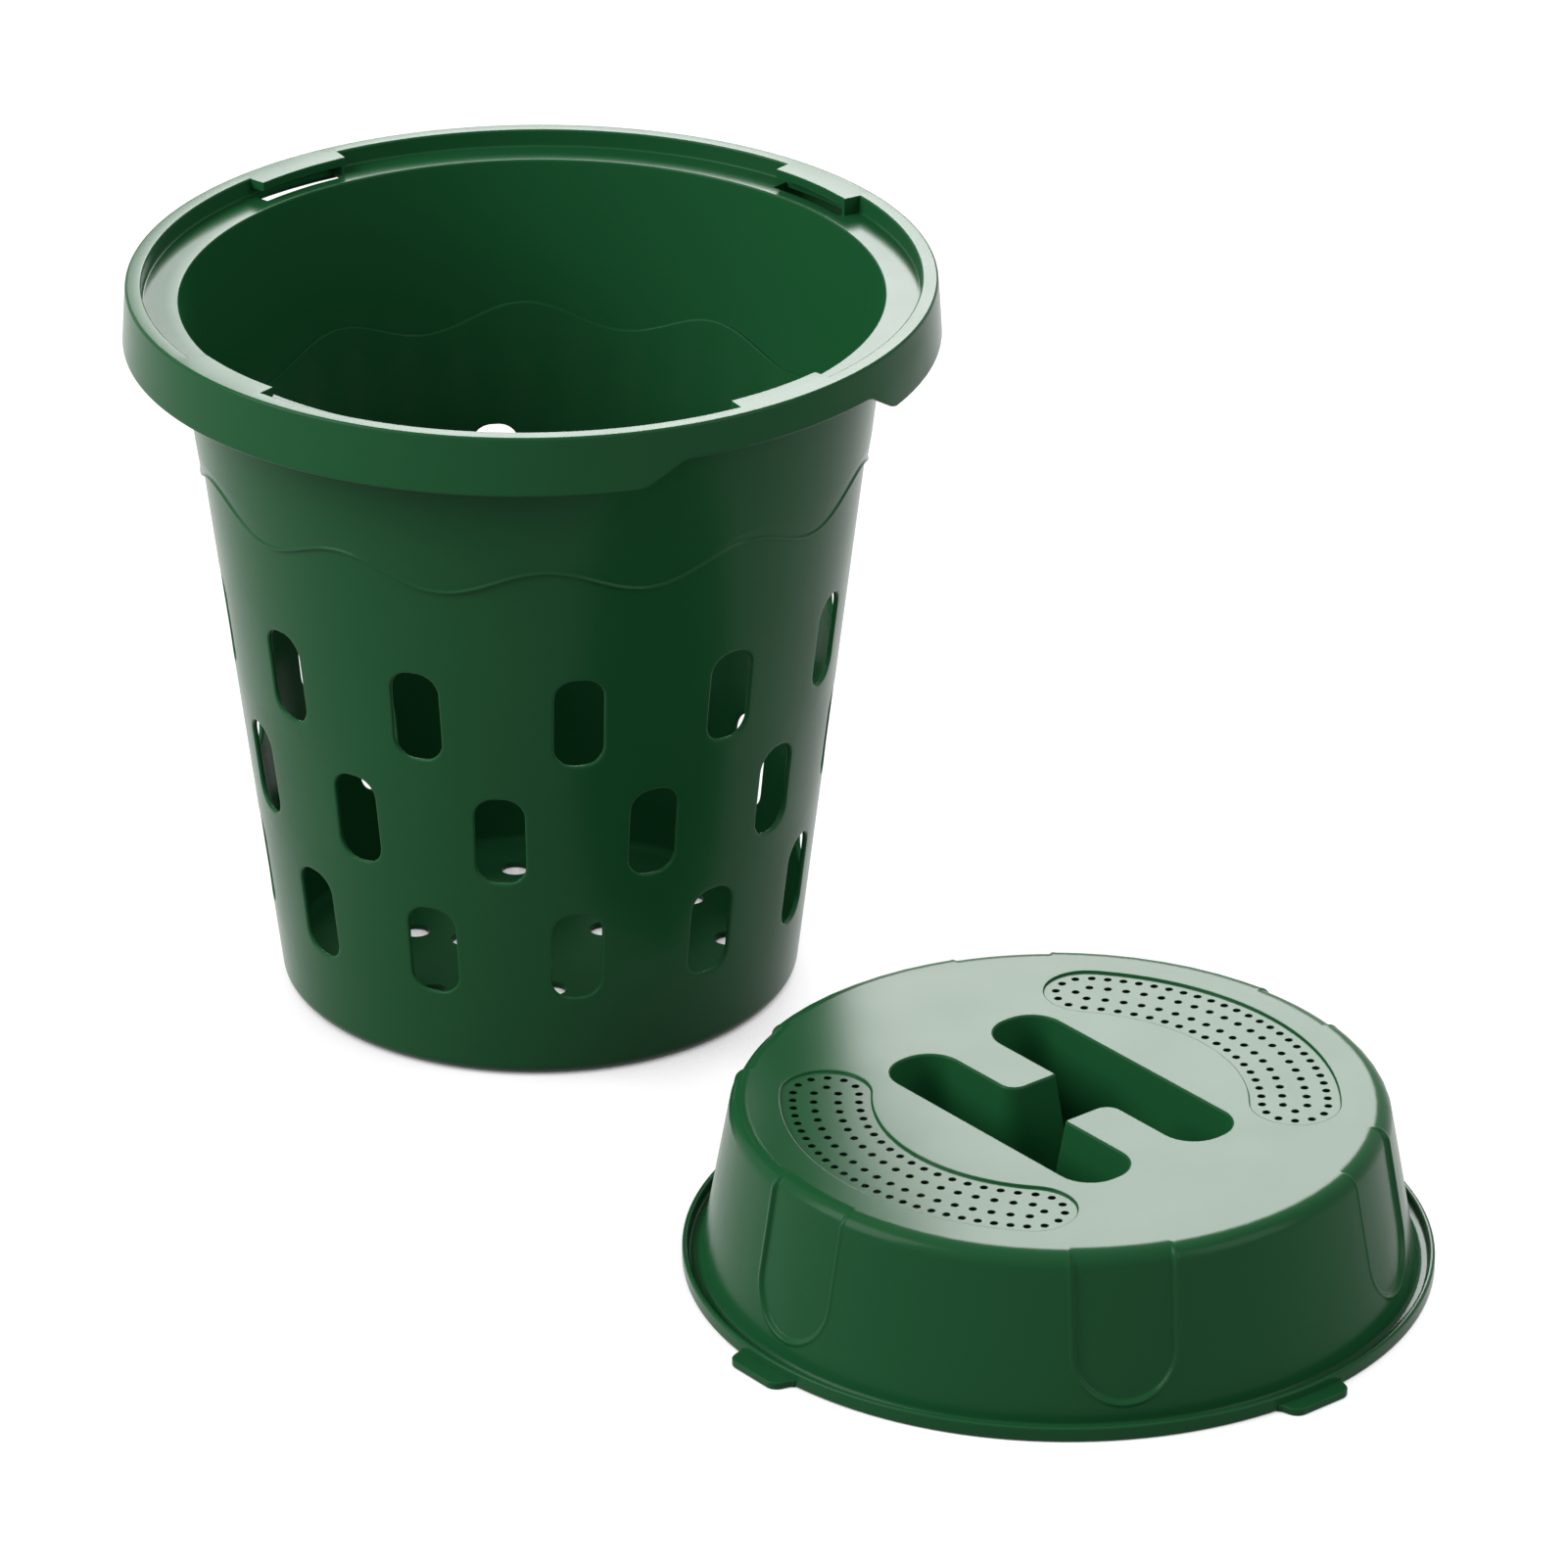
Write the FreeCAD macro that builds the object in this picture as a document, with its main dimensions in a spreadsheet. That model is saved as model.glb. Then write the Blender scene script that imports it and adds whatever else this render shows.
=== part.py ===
"""In-ground composter: a slotted bucket that is sunk in the soil, and its twist-lock lid beside it.

Origin at the centre of the bucket's base, +Z up, millimetres. The lid stands on the same ground as the
bucket, moved straight out along -Y from its locked place, so both share one set of axes.
"""
import FreeCAD, Part
import math
import os
import Sketcher
from FreeCAD import Placement, Rotation, Vector

SIZES = {
    # Bucket wall and base
    "bucket_height": (310.5, "ground to rim top"),
    "base_radius": (107.5, "wall's outer radius carried down to the ground"),
    "mouth_radius": (143.3, "clear radius at the lid ledge"),
    "bucket_wall": (2.2, "wall thickness"),
    "bucket_floor": (2.6, "floor thickness"),
    "base_fillet": (6.0, "outer round between wall and base"),
    "joggle": (1.4, "outward step of the wall above the wavy line"),
    "wave_height": (234.0, "mean height of the wavy line outside"),
    "wave_rise": (2.7, "how much higher the wavy line runs inside"),
    "wave_amplitude": (5.4, "half the height of a wave"),
    "wave_count": (10, "waves round the wall"),
    # Rim
    "rim_radius": (165.0, "outer radius of the rim top"),
    "rim_width": (6.7, "width of the rim's flat top"),
    "rim_wall": (2.2, "thickness of rim, ledge and skirt"),
    "rim_band": (24.4, "height of the rim's skirt"),
    "skirt_flare": (1.6, "how far the skirt flares outward at its foot"),
    "ledge_drop": (7.6, "rim top down to the lid ledge"),
    "rim_round": (1.2, "round on the rim's outer edge"),
    "edge_round": (0.8, "round on the rim's other edges"),
    # Hand grips
    "grip_width": (126.6, "width of a grip cut-out at the skirt's foot"),
    "grip_run": (16.2, "sideways run of a cut-out's slanted end"),
    "grip_rise": (10.2, "height of a cut-out"),
    "grip_round": (9.0, "round at a cut-out's upper corners"),
    "grip_foot_round": (3.0, "round where a cut-out meets the skirt's foot"),
    # Soil slots and drainage
    "slot_width": (20.6, "width of a soil slot"),
    "slot_length": (40.0, "height of a soil slot"),
    "slot_round": (8.6, "corner radius of a soil slot"),
    "slot_count": (12, "slots in a row"),
    "slot_base": (57.6, "middle of the lowest row"),
    "slot_pitch": (55.6, "height from row to row"),
    "drain_diameter": (12.0, "drainage hole"),
    "drain_inner": (34.0, "radius of the inner ring of drainage holes"),
    "drain_middle": (57.0, "radius of the middle ring"),
    "drain_outer": (80.0, "radius of the outer ring"),
    # Bayonet
    "tab_reach": (7.3, "how far a tab overhangs the ledge"),
    "tab_thickness": (4.0, "thickness of a tab"),
    "tab_sweep": (16.5, "length of a tab, degrees"),
    "stop_sweep": (0.7, "thickness of a stop wall, degrees"),
    "window_margin": (2.0, "how far a window reaches past the tab above it"),
    "lug_sweep": (11.6, "width of a lug, degrees"),
    "lug_thickness": (3.0, "thickness of a lug"),
    "lug_round": (5.0, "round on a lug's outer corners"),
    "lug_clearance": (2.0, "gap between a lug and the rim wall"),
    "lock_clearance": (0.15, "gap between a locked lug and its stop, degrees"),
    # Lid
    "lid_height": (70.0, "flange underside to lid top"),
    "lid_foot_radius": (141.7, "lid wall's outer radius at the flange underside"),
    "lid_top_radius": (129.1, "lid wall's outer radius carried up to the top"),
    "lid_wall": (2.2, "lid wall thickness"),
    "lid_edge_round": (7.0, "round between lid wall and top"),
    "flange_clearance": (2.5, "gap between the lid's lip and the tabs"),
    "flange_thickness": (2.4, "thickness of the flange under its channel"),
    "lip_height": (6.2, "height of the flange's outer lip"),
    "lip_width": (2.4, "thickness of the lip"),
    "lip_draft": (0.4, "lean of the lip's inner face"),
    "foot_round": (2.6, "round between channel and lid wall"),
    "arch_count": (6, "arched panels round the lid"),
    "arch_width": (39.5, "width of an arched panel"),
    "arch_foot": (11.5, "height of an arched panel's lowest point"),
    "arch_depth": (1.3, "how deep an arched panel is set in"),
    # Handle
    "handle_length": (126.0, "length of a finger slot"),
    "handle_slot": (29.5, "width of a finger slot"),
    "handle_land": (23.7, "width of the grip between the slots"),
    "handle_cross": (31.0, "width of the cross slot"),
    "handle_depth": (42.0, "depth of the handle pocket"),
    "handle_draft": (9.0, "draft of the pocket's walls, degrees"),
    "handle_round": (13.5, "round at the ends of a finger slot"),
    "land_round": (7.0, "round on the wide corner of a land"),
    "land_point": (1.2, "round on the tight corner of a land"),
    # Vents
    "vent_radius": (91.9, "middle radius of a vent"),
    "vent_reach": (42.3, "half the sweep of a vent's middle line, degrees"),
    "vent_width": (35.6, "width of a vent"),
    "vent_depth": (0.9, "depth of a vent's recess"),
    # Place of the lid
    "lid_gap": (10.1, "clear gap between the bucket's skirt and the nearest lug"),
}

GRIP_COUNT = 2
BAYONET_COUNT = 4
VENT_COUNT = 2
POINTS_PER_WAVE = 8
DRAIN_SIDES = 8
OVERRUN = 1.0


class Size:
    """A number together with the sheet expression that drives it."""

    def __init__(self, value, text):
        self.value = value
        self.text = text

    @staticmethod
    def of(number):
        return number if isinstance(number, Size) else Size(float(number), repr(float(number)))

    def joined(self, sign, other, value):
        return Size(value, "(%s %s %s)" % (self.text, sign, other.text))

    def __add__(self, other):
        other = Size.of(other)
        return self.joined("+", other, self.value + other.value)

    def __sub__(self, other):
        other = Size.of(other)
        return self.joined("-", other, self.value - other.value)

    def __mul__(self, other):
        other = Size.of(other)
        return self.joined("*", other, self.value * other.value)

    def __truediv__(self, other):
        other = Size.of(other)
        return self.joined("/", other, self.value / other.value)

    def __neg__(self):
        return Size.of(0) - self

    __radd__ = __add__
    __rmul__ = __mul__

    def cos(self):
        return Size(math.cos(math.radians(self.value)), "cos(%s * 1 deg)" % self.text)

    def sin(self):
        return Size(math.sin(math.radians(self.value)), "sin(%s * 1 deg)" % self.text)

    def tan(self):
        return Size(math.tan(math.radians(self.value)), "tan(%s * 1 deg)" % self.text)


class Sheet:
    """The driving dimensions, read as attributes."""

    def __init__(self, doc, sizes):
        sheet = doc.addObject("Spreadsheet::Sheet", "Sizes")
        for row, (name, (value, note)) in enumerate(sizes.items(), start=1):
            sheet.set("A%d" % row, name)
            sheet.set("B%d" % row, str(value))
            sheet.setAlias("B%d" % row, name)
            sheet.set("C%d" % row, note)
            setattr(self, name, Size(float(value), "Sizes." + name))
        doc.recompute()


def bind(target, path, size):
    """Drives one property from the sheet."""
    target.setExpression(path, Size.of(size).text)


def origin_part(body, role):
    """A plane or axis of a body's own origin."""
    return next(part for part in body.Origin.OriginFeatures if part.Role == role)


def attached_sketch(body, name, plane, turn=0, rise=0):
    """A sketch on an origin plane, turned about the sketch's own Y axis and then raised off the plane."""
    turn, rise = Size.of(turn), Size.of(rise)
    across, up = rise * turn.sin(), rise * turn.cos()
    sketch = body.newObject("Sketcher::SketchObject", name)
    sketch.AttachmentSupport = (origin_part(body, plane), [""])
    sketch.MapMode = "FlatFace"
    sketch.AttachmentOffset = Placement(Vector(across.value, 0, up.value), Rotation(Vector(0, 1, 0), turn.value))
    bind(sketch, "AttachmentOffset.Base.x", across)
    bind(sketch, "AttachmentOffset.Base.z", up)
    bind(sketch, "AttachmentOffset.Rotation.Angle", turn)
    return sketch


def fix_coordinate(sketch, kind, geometry, position, size):
    """Holds one coordinate of a point at a driven distance from the sketch's origin."""
    axis = {"DistanceX": -2, "DistanceY": -1}[kind]
    if size.value == 0:
        sketch.addConstraint(Sketcher.Constraint("PointOnObject", geometry, position, axis))
        return
    ends = (-1, 1, geometry, position) if size.value > 0 else (geometry, position, -1, 1)
    index = sketch.addConstraint(Sketcher.Constraint(kind, *ends, abs(size.value)))
    bind(sketch, "Constraints[%d]" % index, size if size.value > 0 else -size)


def fix_point(sketch, geometry, position, x, y):
    """Holds a point of a sketch at driven coordinates."""
    fix_coordinate(sketch, "DistanceX", geometry, position, x)
    fix_coordinate(sketch, "DistanceY", geometry, position, y)


def tangent_points(before, corner, after, radius):
    """Where a round of the given radius leaves and meets the two runs at a corner, and its centre."""
    into = (before - corner).normalize()
    away = (after - corner).normalize()
    half = into.getAngle(away) / 2
    reach = radius / math.tan(half)
    middle = (into + away).normalize()
    return corner + into * reach, corner + away * reach, corner + middle * (radius / math.sin(half))


class Round:
    """A corner round, cut in equal chords so that the piece keeps to a few plain faces."""

    def __init__(self, radius, chords):
        self.radius = radius
        self.chords = chords


def edge(radius):
    """A small round on an edge, as a single chord."""
    return Round(radius, 1)


def soft(radius):
    """A round that shows in the outline."""
    return Round(radius, 2)


def full(radius):
    """A round that turns half-way round an opening's end."""
    return Round(radius, 4)


def draw_round(sketch, into, away, meet, leave, centre, round_):
    """Rounds the corner between two runs with equal chords along a construction arc."""
    start, end = meet - centre, leave - centre
    turn_left = start.cross(end).z > 0
    first, last = (start, end) if turn_left else (end, start)
    circle = Part.Circle(centre, Vector(0, 0, 1), round_.radius.value)
    angles = math.atan2(first.y, first.x), math.atan2(last.y, last.x)
    arc = sketch.addGeometry(Part.ArcOfCircle(circle, *angles), True)
    arc_in, arc_out = (1, 2) if turn_left else (2, 1)
    sketch.addConstraint(Sketcher.Constraint("Tangent", into, 2, arc, arc_in))
    sketch.addConstraint(Sketcher.Constraint("Tangent", arc, arc_out, away, 1))
    index = sketch.addConstraint(Sketcher.Constraint("Radius", arc, round_.radius.value))
    bind(sketch, "Constraints[%d]" % index, round_.radius)

    step = math.degrees(start.getAngle(end)) / round_.chords * (1 if turn_left else -1)
    points = [centre + Rotation(Vector(0, 0, 1), step * i).multVec(start) for i in range(round_.chords + 1)]
    chords = [sketch.addGeometry(Part.LineSegment(one, two)) for one, two in zip(points, points[1:])]
    sketch.addConstraint(Sketcher.Constraint("Coincident", chords[0], 1, arc, arc_in))
    sketch.addConstraint(Sketcher.Constraint("Coincident", chords[-1], 2, arc, arc_out))
    for one, two in zip(chords, chords[1:]):
        sketch.addConstraint(Sketcher.Constraint("Coincident", one, 2, two, 1))
        sketch.addConstraint(Sketcher.Constraint("PointOnObject", one, 2, arc))
        sketch.addConstraint(Sketcher.Constraint("Equal", one, two))


def draw_outline(sketch, corners):
    """Draws a closed outline of straight runs through corners (x, y, round), all driven by the sheet."""
    corners = [(Size.of(x), Size.of(y), round_) for x, y, round_ in corners]
    places = [Vector(x.value, y.value, 0) for x, y, _ in corners]
    count = len(corners)
    leave, meet, centres = list(places), list(places), {}
    for i, (_, _, round_) in enumerate(corners):
        if round_ is not None:
            meet[i], leave[i], centres[i] = tangent_points(
                places[i - 1], places[i], places[(i + 1) % count], round_.radius.value)
    runs = [sketch.addGeometry(Part.LineSegment(leave[i], meet[(i + 1) % count])) for i in range(count)]
    for i, (x, y, round_) in enumerate(corners):
        into, away = runs[i - 1], runs[i]
        if round_ is None:
            sketch.addConstraint(Sketcher.Constraint("Coincident", into, 2, away, 1))
            fix_point(sketch, away, 1, x, y)
            continue
        draw_round(sketch, into, away, meet[i], leave[i], centres[i], round_)
        point = sketch.addGeometry(Part.Point(places[i]), True)
        sketch.addConstraint(Sketcher.Constraint("PointOnObject", point, 1, into))
        sketch.addConstraint(Sketcher.Constraint("PointOnObject", point, 1, away))
        fix_point(sketch, point, 1, x, y)
    return sketch


def polygon(x, y, across, sides):
    """Corners of a regular polygon with a driven width across its flats."""
    reach = across / 2 / Size.of(180 / sides).cos()
    angles = [Size.of(360 * (i + 0.5) / sides) for i in range(sides)]
    return [(x + reach * angle.cos(), y + reach * angle.sin(), None) for angle in angles]


def turned(body, name, kind, sketch, sweep=None):
    """A Revolution or Groove of a sketch about the body's upright axis, all round or over a sweep."""
    feature = body.newObject("PartDesign::" + kind, name)
    feature.Profile = sketch
    feature.ReferenceAxis = (origin_part(body, "Z_Axis"), [""])
    feature.Angle = 360.0
    if sweep is not None:
        feature.Angle = sweep.value
        bind(feature, "Angle", sweep)
    body.Document.recompute()
    return feature


def pushed(body, name, kind, sketch, length=None, reverse=False):
    """A Pad or Pocket of a sketch, to a driven length or through everything on one side."""
    feature = body.newObject("PartDesign::" + kind, name)
    feature.Profile = sketch
    feature.Reversed = reverse
    if length is None:
        feature.Type = "ThroughAll"
    else:
        feature.Length = length.value
        bind(feature, "Length", length)
    body.Document.recompute()
    return feature


def repeated(body, name, features, count):
    """Copies of features evenly round the body's upright axis."""
    pattern = body.newObject("PartDesign::PolarPattern", name)
    pattern.Originals = features
    pattern.Axis = (origin_part(body, "Z_Axis"), [""])
    pattern.Angle = 360.0
    pattern.Occurrences = int(Size.of(count).value)
    if isinstance(count, Size):
        bind(pattern, "Occurrences", count)
    body.Tip = pattern
    body.Document.recompute()
    return pattern


def lofted(body, name, kind, sketches):
    """A straight-sided loft through sketches."""
    feature = body.newObject("PartDesign::" + kind, name)
    feature.Profile = sketches[0]
    feature.Sections = sketches[1:]
    feature.Ruled = True
    body.Document.recompute()
    return feature


def combined(doc, name, kind, base, tool):
    """A boolean of two objects."""
    result = doc.addObject("Part::" + kind, name)
    result.Base = base
    result.Tool = tool
    result.Refine = True
    doc.recompute()
    return result


class BucketForm:
    """Sizes of the bucket that several features share, worked out from the sheet."""

    def __init__(self, s):
        self.ledge = s.bucket_height - s.ledge_drop
        self.ledge_under = self.ledge - s.rim_wall
        self.rim_inner = s.rim_radius - s.rim_width
        self.skirt_radius = s.rim_radius + s.skirt_flare
        self.skirt_low = s.bucket_height - s.rim_band
        self.tab_inner = self.rim_inner - s.tab_reach
        self.tab_start = -(s.lug_sweep / 2 + s.lock_clearance + s.stop_sweep)
        self.band_low = s.wave_height - s.wave_amplitude - OVERRUN
        self.band_high = s.wave_height + s.wave_rise + s.wave_amplitude + OVERRUN
        self.base_radius = s.base_radius
        self.wall = s.bucket_wall
        self.joggle = s.joggle
        self.slope = (s.mouth_radius + s.bucket_wall - s.joggle - s.base_radius) / self.ledge

    def lower_outer(self, z):
        return self.base_radius + self.slope * z

    def lower_inner(self, z):
        return self.lower_outer(z) - self.wall

    def upper_outer(self, z):
        return self.lower_outer(z) + self.joggle

    def upper_inner(self, z):
        return self.upper_outer(z) - self.wall


def bucket_shell(doc, s, f):
    """The bucket's turned wall, base and stepped rim, left thick where the wavy line will be cut."""
    body = doc.addObject("PartDesign::Body", "BucketShell")
    top = s.bucket_height
    rim_edge = edge(s.edge_round)
    profile = draw_outline(attached_sketch(body, "BucketProfile", "XZ_Plane"), [
        (0, 0, None),
        (s.base_radius, 0, soft(s.base_fillet)),
        (f.lower_outer(f.band_low), f.band_low, None),
        (f.upper_outer(f.band_low), f.band_low, None),
        (f.upper_outer(f.ledge_under), f.ledge_under, None),
        (f.rim_inner + s.rim_wall, f.ledge_under, None),
        (f.rim_inner + s.rim_wall, top - s.rim_wall, None),
        (s.rim_radius - s.rim_wall, top - s.rim_wall, None),
        (f.skirt_radius - s.rim_wall, f.skirt_low, None),
        (f.skirt_radius, f.skirt_low, rim_edge),
        (s.rim_radius, top, edge(s.rim_round)),
        (f.rim_inner, top, rim_edge),
        (f.rim_inner, f.ledge, None),
        (s.mouth_radius, f.ledge, rim_edge),
        (f.upper_inner(f.band_high), f.band_high, None),
        (f.lower_inner(f.band_high), f.band_high, None),
        (f.lower_inner(s.bucket_floor), s.bucket_floor, edge(s.base_fillet - s.bucket_wall)),
        (0, s.bucket_floor, None),
    ])
    turned(body, "BucketTurned", "Revolution", profile)
    return body


def rim_bayonet(body, s, f):
    """Four tabs over the ledge, each with a stop wall at its clockwise end and a window beneath."""
    root = f.rim_inner + s.edge_round + s.edge_round
    parts = [
        ("Window", "Groove", f.tab_inner - s.window_margin, f.rim_inner,
         f.ledge_under - OVERRUN, f.ledge + OVERRUN, f.tab_start + s.stop_sweep, s.tab_sweep - s.stop_sweep),
        ("Tab", "Revolution", f.tab_inner, root,
         s.bucket_height - s.tab_thickness, s.bucket_height, f.tab_start, s.tab_sweep),
        ("Stop", "Revolution", f.tab_inner, root,
         f.ledge_under, s.bucket_height - s.tab_thickness / 2, f.tab_start, s.stop_sweep),
    ]
    for name, kind, inner, outer, low, high, start, sweep in parts:
        sketch = draw_outline(attached_sketch(body, name + "Profile", "XZ_Plane", turn=start), [
            (inner, low, None), (outer, low, None), (outer, high, None), (inner, high, None)])
        repeated(body, name + "Ring", [turned(body, name, kind, sketch, sweep)], BAYONET_COUNT)


def hand_grips(body, s, f):
    """Two wide cut-outs that raise the foot of the skirt, with soft S-shaped ends."""
    wide = s.grip_width / 2
    narrow = wide - s.grip_run
    beyond = wide + s.grip_run
    low, high = f.skirt_low, f.skirt_low + s.grip_rise
    outside = f.skirt_radius + OVERRUN
    sketch = draw_outline(attached_sketch(body, "GripOutline", "XZ_Plane", rise=outside), [
        (-beyond, low - OVERRUN, None), (beyond, low - OVERRUN, None), (beyond, low, None),
        (wide, low, edge(s.grip_foot_round)), (narrow, high, soft(s.grip_round)),
        (-narrow, high, soft(s.grip_round)), (-wide, low, edge(s.grip_foot_round)), (-beyond, low, None)])
    depth = outside - f.upper_outer(f.ledge) - s.rim_wall
    repeated(body, "GripPair", [pushed(body, "Grip", "Pocket", sketch, depth)], GRIP_COUNT)


def soil_slots(body, s):
    """Three rows of upright soil slots, the middle row half a pitch round from the others."""
    half_step = Size.of(180) / s.slot_count
    inside = s.base_radius - s.slot_width
    slots = []
    for row, turn in enumerate((0, half_step, 0)):
        middle = s.slot_base + s.slot_pitch * row
        x, low, high = s.slot_width / 2, middle - s.slot_length / 2, middle + s.slot_length / 2
        sketch = draw_outline(attached_sketch(body, "SlotOutline%d" % row, "XZ_Plane", turn, inside), [
            (x * side_x, low if side_z < 0 else high, soft(s.slot_round))
            for side_x, side_z in ((-1, -1), (1, -1), (1, 1), (-1, 1))])
        slots.append(pushed(body, "Slot%d" % row, "Pocket", sketch, reverse=True))
    repeated(body, "SlotRows", slots, s.slot_count)


def drainage_holes(body, s):
    """Rings of round drainage holes in the floor."""
    for name, radii, count in (("Near", (s.drain_inner, s.drain_middle), s.slot_count / 2),
                               ("Far", (s.drain_outer,), s.slot_count)):
        sketch = attached_sketch(body, name + "DrainOutline", "XY_Plane")
        for radius in radii:
            draw_outline(sketch, polygon(radius, Size.of(0), s.drain_diameter, DRAIN_SIDES))
        drain = pushed(body, name + "Drain", "Pocket", sketch, s.bucket_floor + OVERRUN, reverse=True)
        repeated(body, name + "DrainRing", [drain], count)


def wave_edge(s, radius, height):
    """One closed wavy line at a radius, lowest on the X axis."""
    count = int(s.wave_count.value) * POINTS_PER_WAVE
    points = []
    for i in range(count):
        angle = 2 * math.pi * i / count
        z = height.value - s.wave_amplitude.value * math.cos(s.wave_count.value * angle)
        points.append(Vector(radius.value * math.cos(angle), radius.value * math.sin(angle), z))
    curve = Part.BSplineCurve()
    curve.interpolate(Points=points, PeriodicFlag=True)
    return curve.toShape()


def wave_ring(doc, name, s, inner, outer, height, reach):
    """A ring whose one end is the wavy surface at a height and whose other end lies at a reach from it."""
    surface = Part.makeRuledSurface(wave_edge(s, inner, height), wave_edge(s, outer, height))
    ring = doc.addObject("Part::Feature", name)
    ring.Shape = surface.extrude(Vector(0, 0, reach.value))
    return ring


def collar(doc, name, corners):
    """A turned ring with a straight-sided section."""
    body = doc.addObject("PartDesign::Body", name)
    turned(body, name + "Turned", "Revolution",
           draw_outline(attached_sketch(body, name + "Profile", "XZ_Plane"), corners))
    return body


def bucket(doc, s, f):
    """The whole bucket: the shell with its rim, slots and drains, then the wavy joggle cut on both sides."""
    body = bucket_shell(doc, s, f)
    rim_bayonet(body, s, f)
    hand_grips(body, s, f)
    soil_slots(body, s)
    drainage_holes(body, s)

    low, high = f.band_low, f.band_high
    far_out = f.rim_inner
    far_in = f.lower_inner(low) - s.tab_reach
    outer_collar = collar(doc, "OuterCollar", [
        (f.lower_outer(low), low, None), (far_out, low, None),
        (far_out, high, None), (f.lower_outer(high), high, None)])
    inner_collar = collar(doc, "InnerCollar", [
        (far_in, low, None), (f.upper_inner(low), low, None),
        (f.upper_inner(high), high, None), (far_in, high, None)])
    span = high - low + OVERRUN
    inside, outside = far_in - OVERRUN, far_out + OVERRUN
    below = wave_ring(doc, "BelowWave", s, inside, outside, s.wave_height, -span)
    above = wave_ring(doc, "AboveWave", s, inside, outside, s.wave_height + s.wave_rise, span)
    outer_cut = combined(doc, "OuterJoggle", "Common", outer_collar, below)
    inner_cut = combined(doc, "InnerJoggle", "Common", inner_collar, above)
    outside_stepped = combined(doc, "OutsideStepped", "Cut", body, outer_cut)
    result = combined(doc, "Bucket", "Cut", outside_stepped, inner_cut)
    result.Label = "bucket"
    return result


class LidForm:
    """Sizes of the lid that several features share, worked out from the sheet and the bucket's rim."""

    def __init__(self, s, bucket_form):
        self.flange_radius = bucket_form.tab_inner - s.flange_clearance
        self.lug_radius = bucket_form.rim_inner - s.lug_clearance
        self.lug_half = self.flange_radius * (s.lug_sweep / 2).sin()
        self.lean = (s.lid_foot_radius - s.lid_top_radius) / s.lid_height
        self.foot_radius = s.lid_foot_radius

    def wall(self, z, inset=0):
        """Outer radius of the lid's wall at a height, less an inset."""
        return self.foot_radius - self.lean * z - inset


def arched_panels(doc, name, s, f, inset, grow):
    """The six set-in panels as one tool: a ring beside the wall kept only inside round-footed arches."""
    low = s.arch_foot - grow
    top = s.lid_height - grow
    beyond = f.flange_radius + OVERRUN
    within = s.lid_top_radius - inset - s.lid_edge_round - OVERRUN
    ring = collar(doc, name + "Ring", [
        (f.wall(low, inset), low, None), (beyond, low, None), (beyond, top + OVERRUN, None),
        (within, top + OVERRUN, None), (within, top, None), (f.wall(top, inset), top, soft(s.lid_edge_round - grow))])
    body = doc.addObject("PartDesign::Body", name + "Arches")
    half = s.arch_width / 2 + grow
    foot = full(half - OVERRUN / 2)
    inside = s.arch_width
    sketch = draw_outline(attached_sketch(body, name + "Outline", "YZ_Plane", rise=inside), [
        (-half, low, foot), (half, low, foot), (half, top + OVERRUN, None), (-half, top + OVERRUN, None)])
    repeated(body, name + "Row", [pushed(body, name + "Arch", "Pad", sketch, beyond - inside)], s.arch_count)
    return combined(doc, name, "Common", ring, body)


def handle_outline(sketch, s, draft, grow):
    """The H of the handle pocket: two finger slots joined by a cross slot, point-symmetric."""
    inset = draft - grow
    inner, outer = s.handle_land / 2 + inset, s.handle_land / 2 + s.handle_slot - inset
    end, cross = s.handle_length / 2 - inset, s.handle_cross / 2 - inset
    round_end = full(s.handle_round - inset)
    wide, tight = soft(s.land_round + inset), edge(s.land_point + draft)
    half = [(outer, -end, round_end), (outer, end, round_end), (inner, end, round_end),
            (inner, cross, tight), (-inner, cross, wide), (-inner, end, round_end)]
    return draw_outline(sketch, half + [(-x, -y, round_) for x, y, round_ in half])


def handle_pocket(body, s, name, grow):
    """Sinks the handle's H into a body with drafted walls, grown by a wall thickness for the core."""
    draft = s.handle_depth * s.handle_draft.tan()
    floor = s.lid_height - s.handle_depth - grow
    top = attached_sketch(body, name + "Mouth", "XY_Plane", rise=s.lid_height)
    foot = attached_sketch(body, name + "Floor", "XY_Plane", rise=floor)
    handle_outline(top, s, Size.of(0), grow)
    handle_outline(foot, s, draft, grow)
    lofted(body, name, "SubtractiveLoft", [top, foot])


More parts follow.
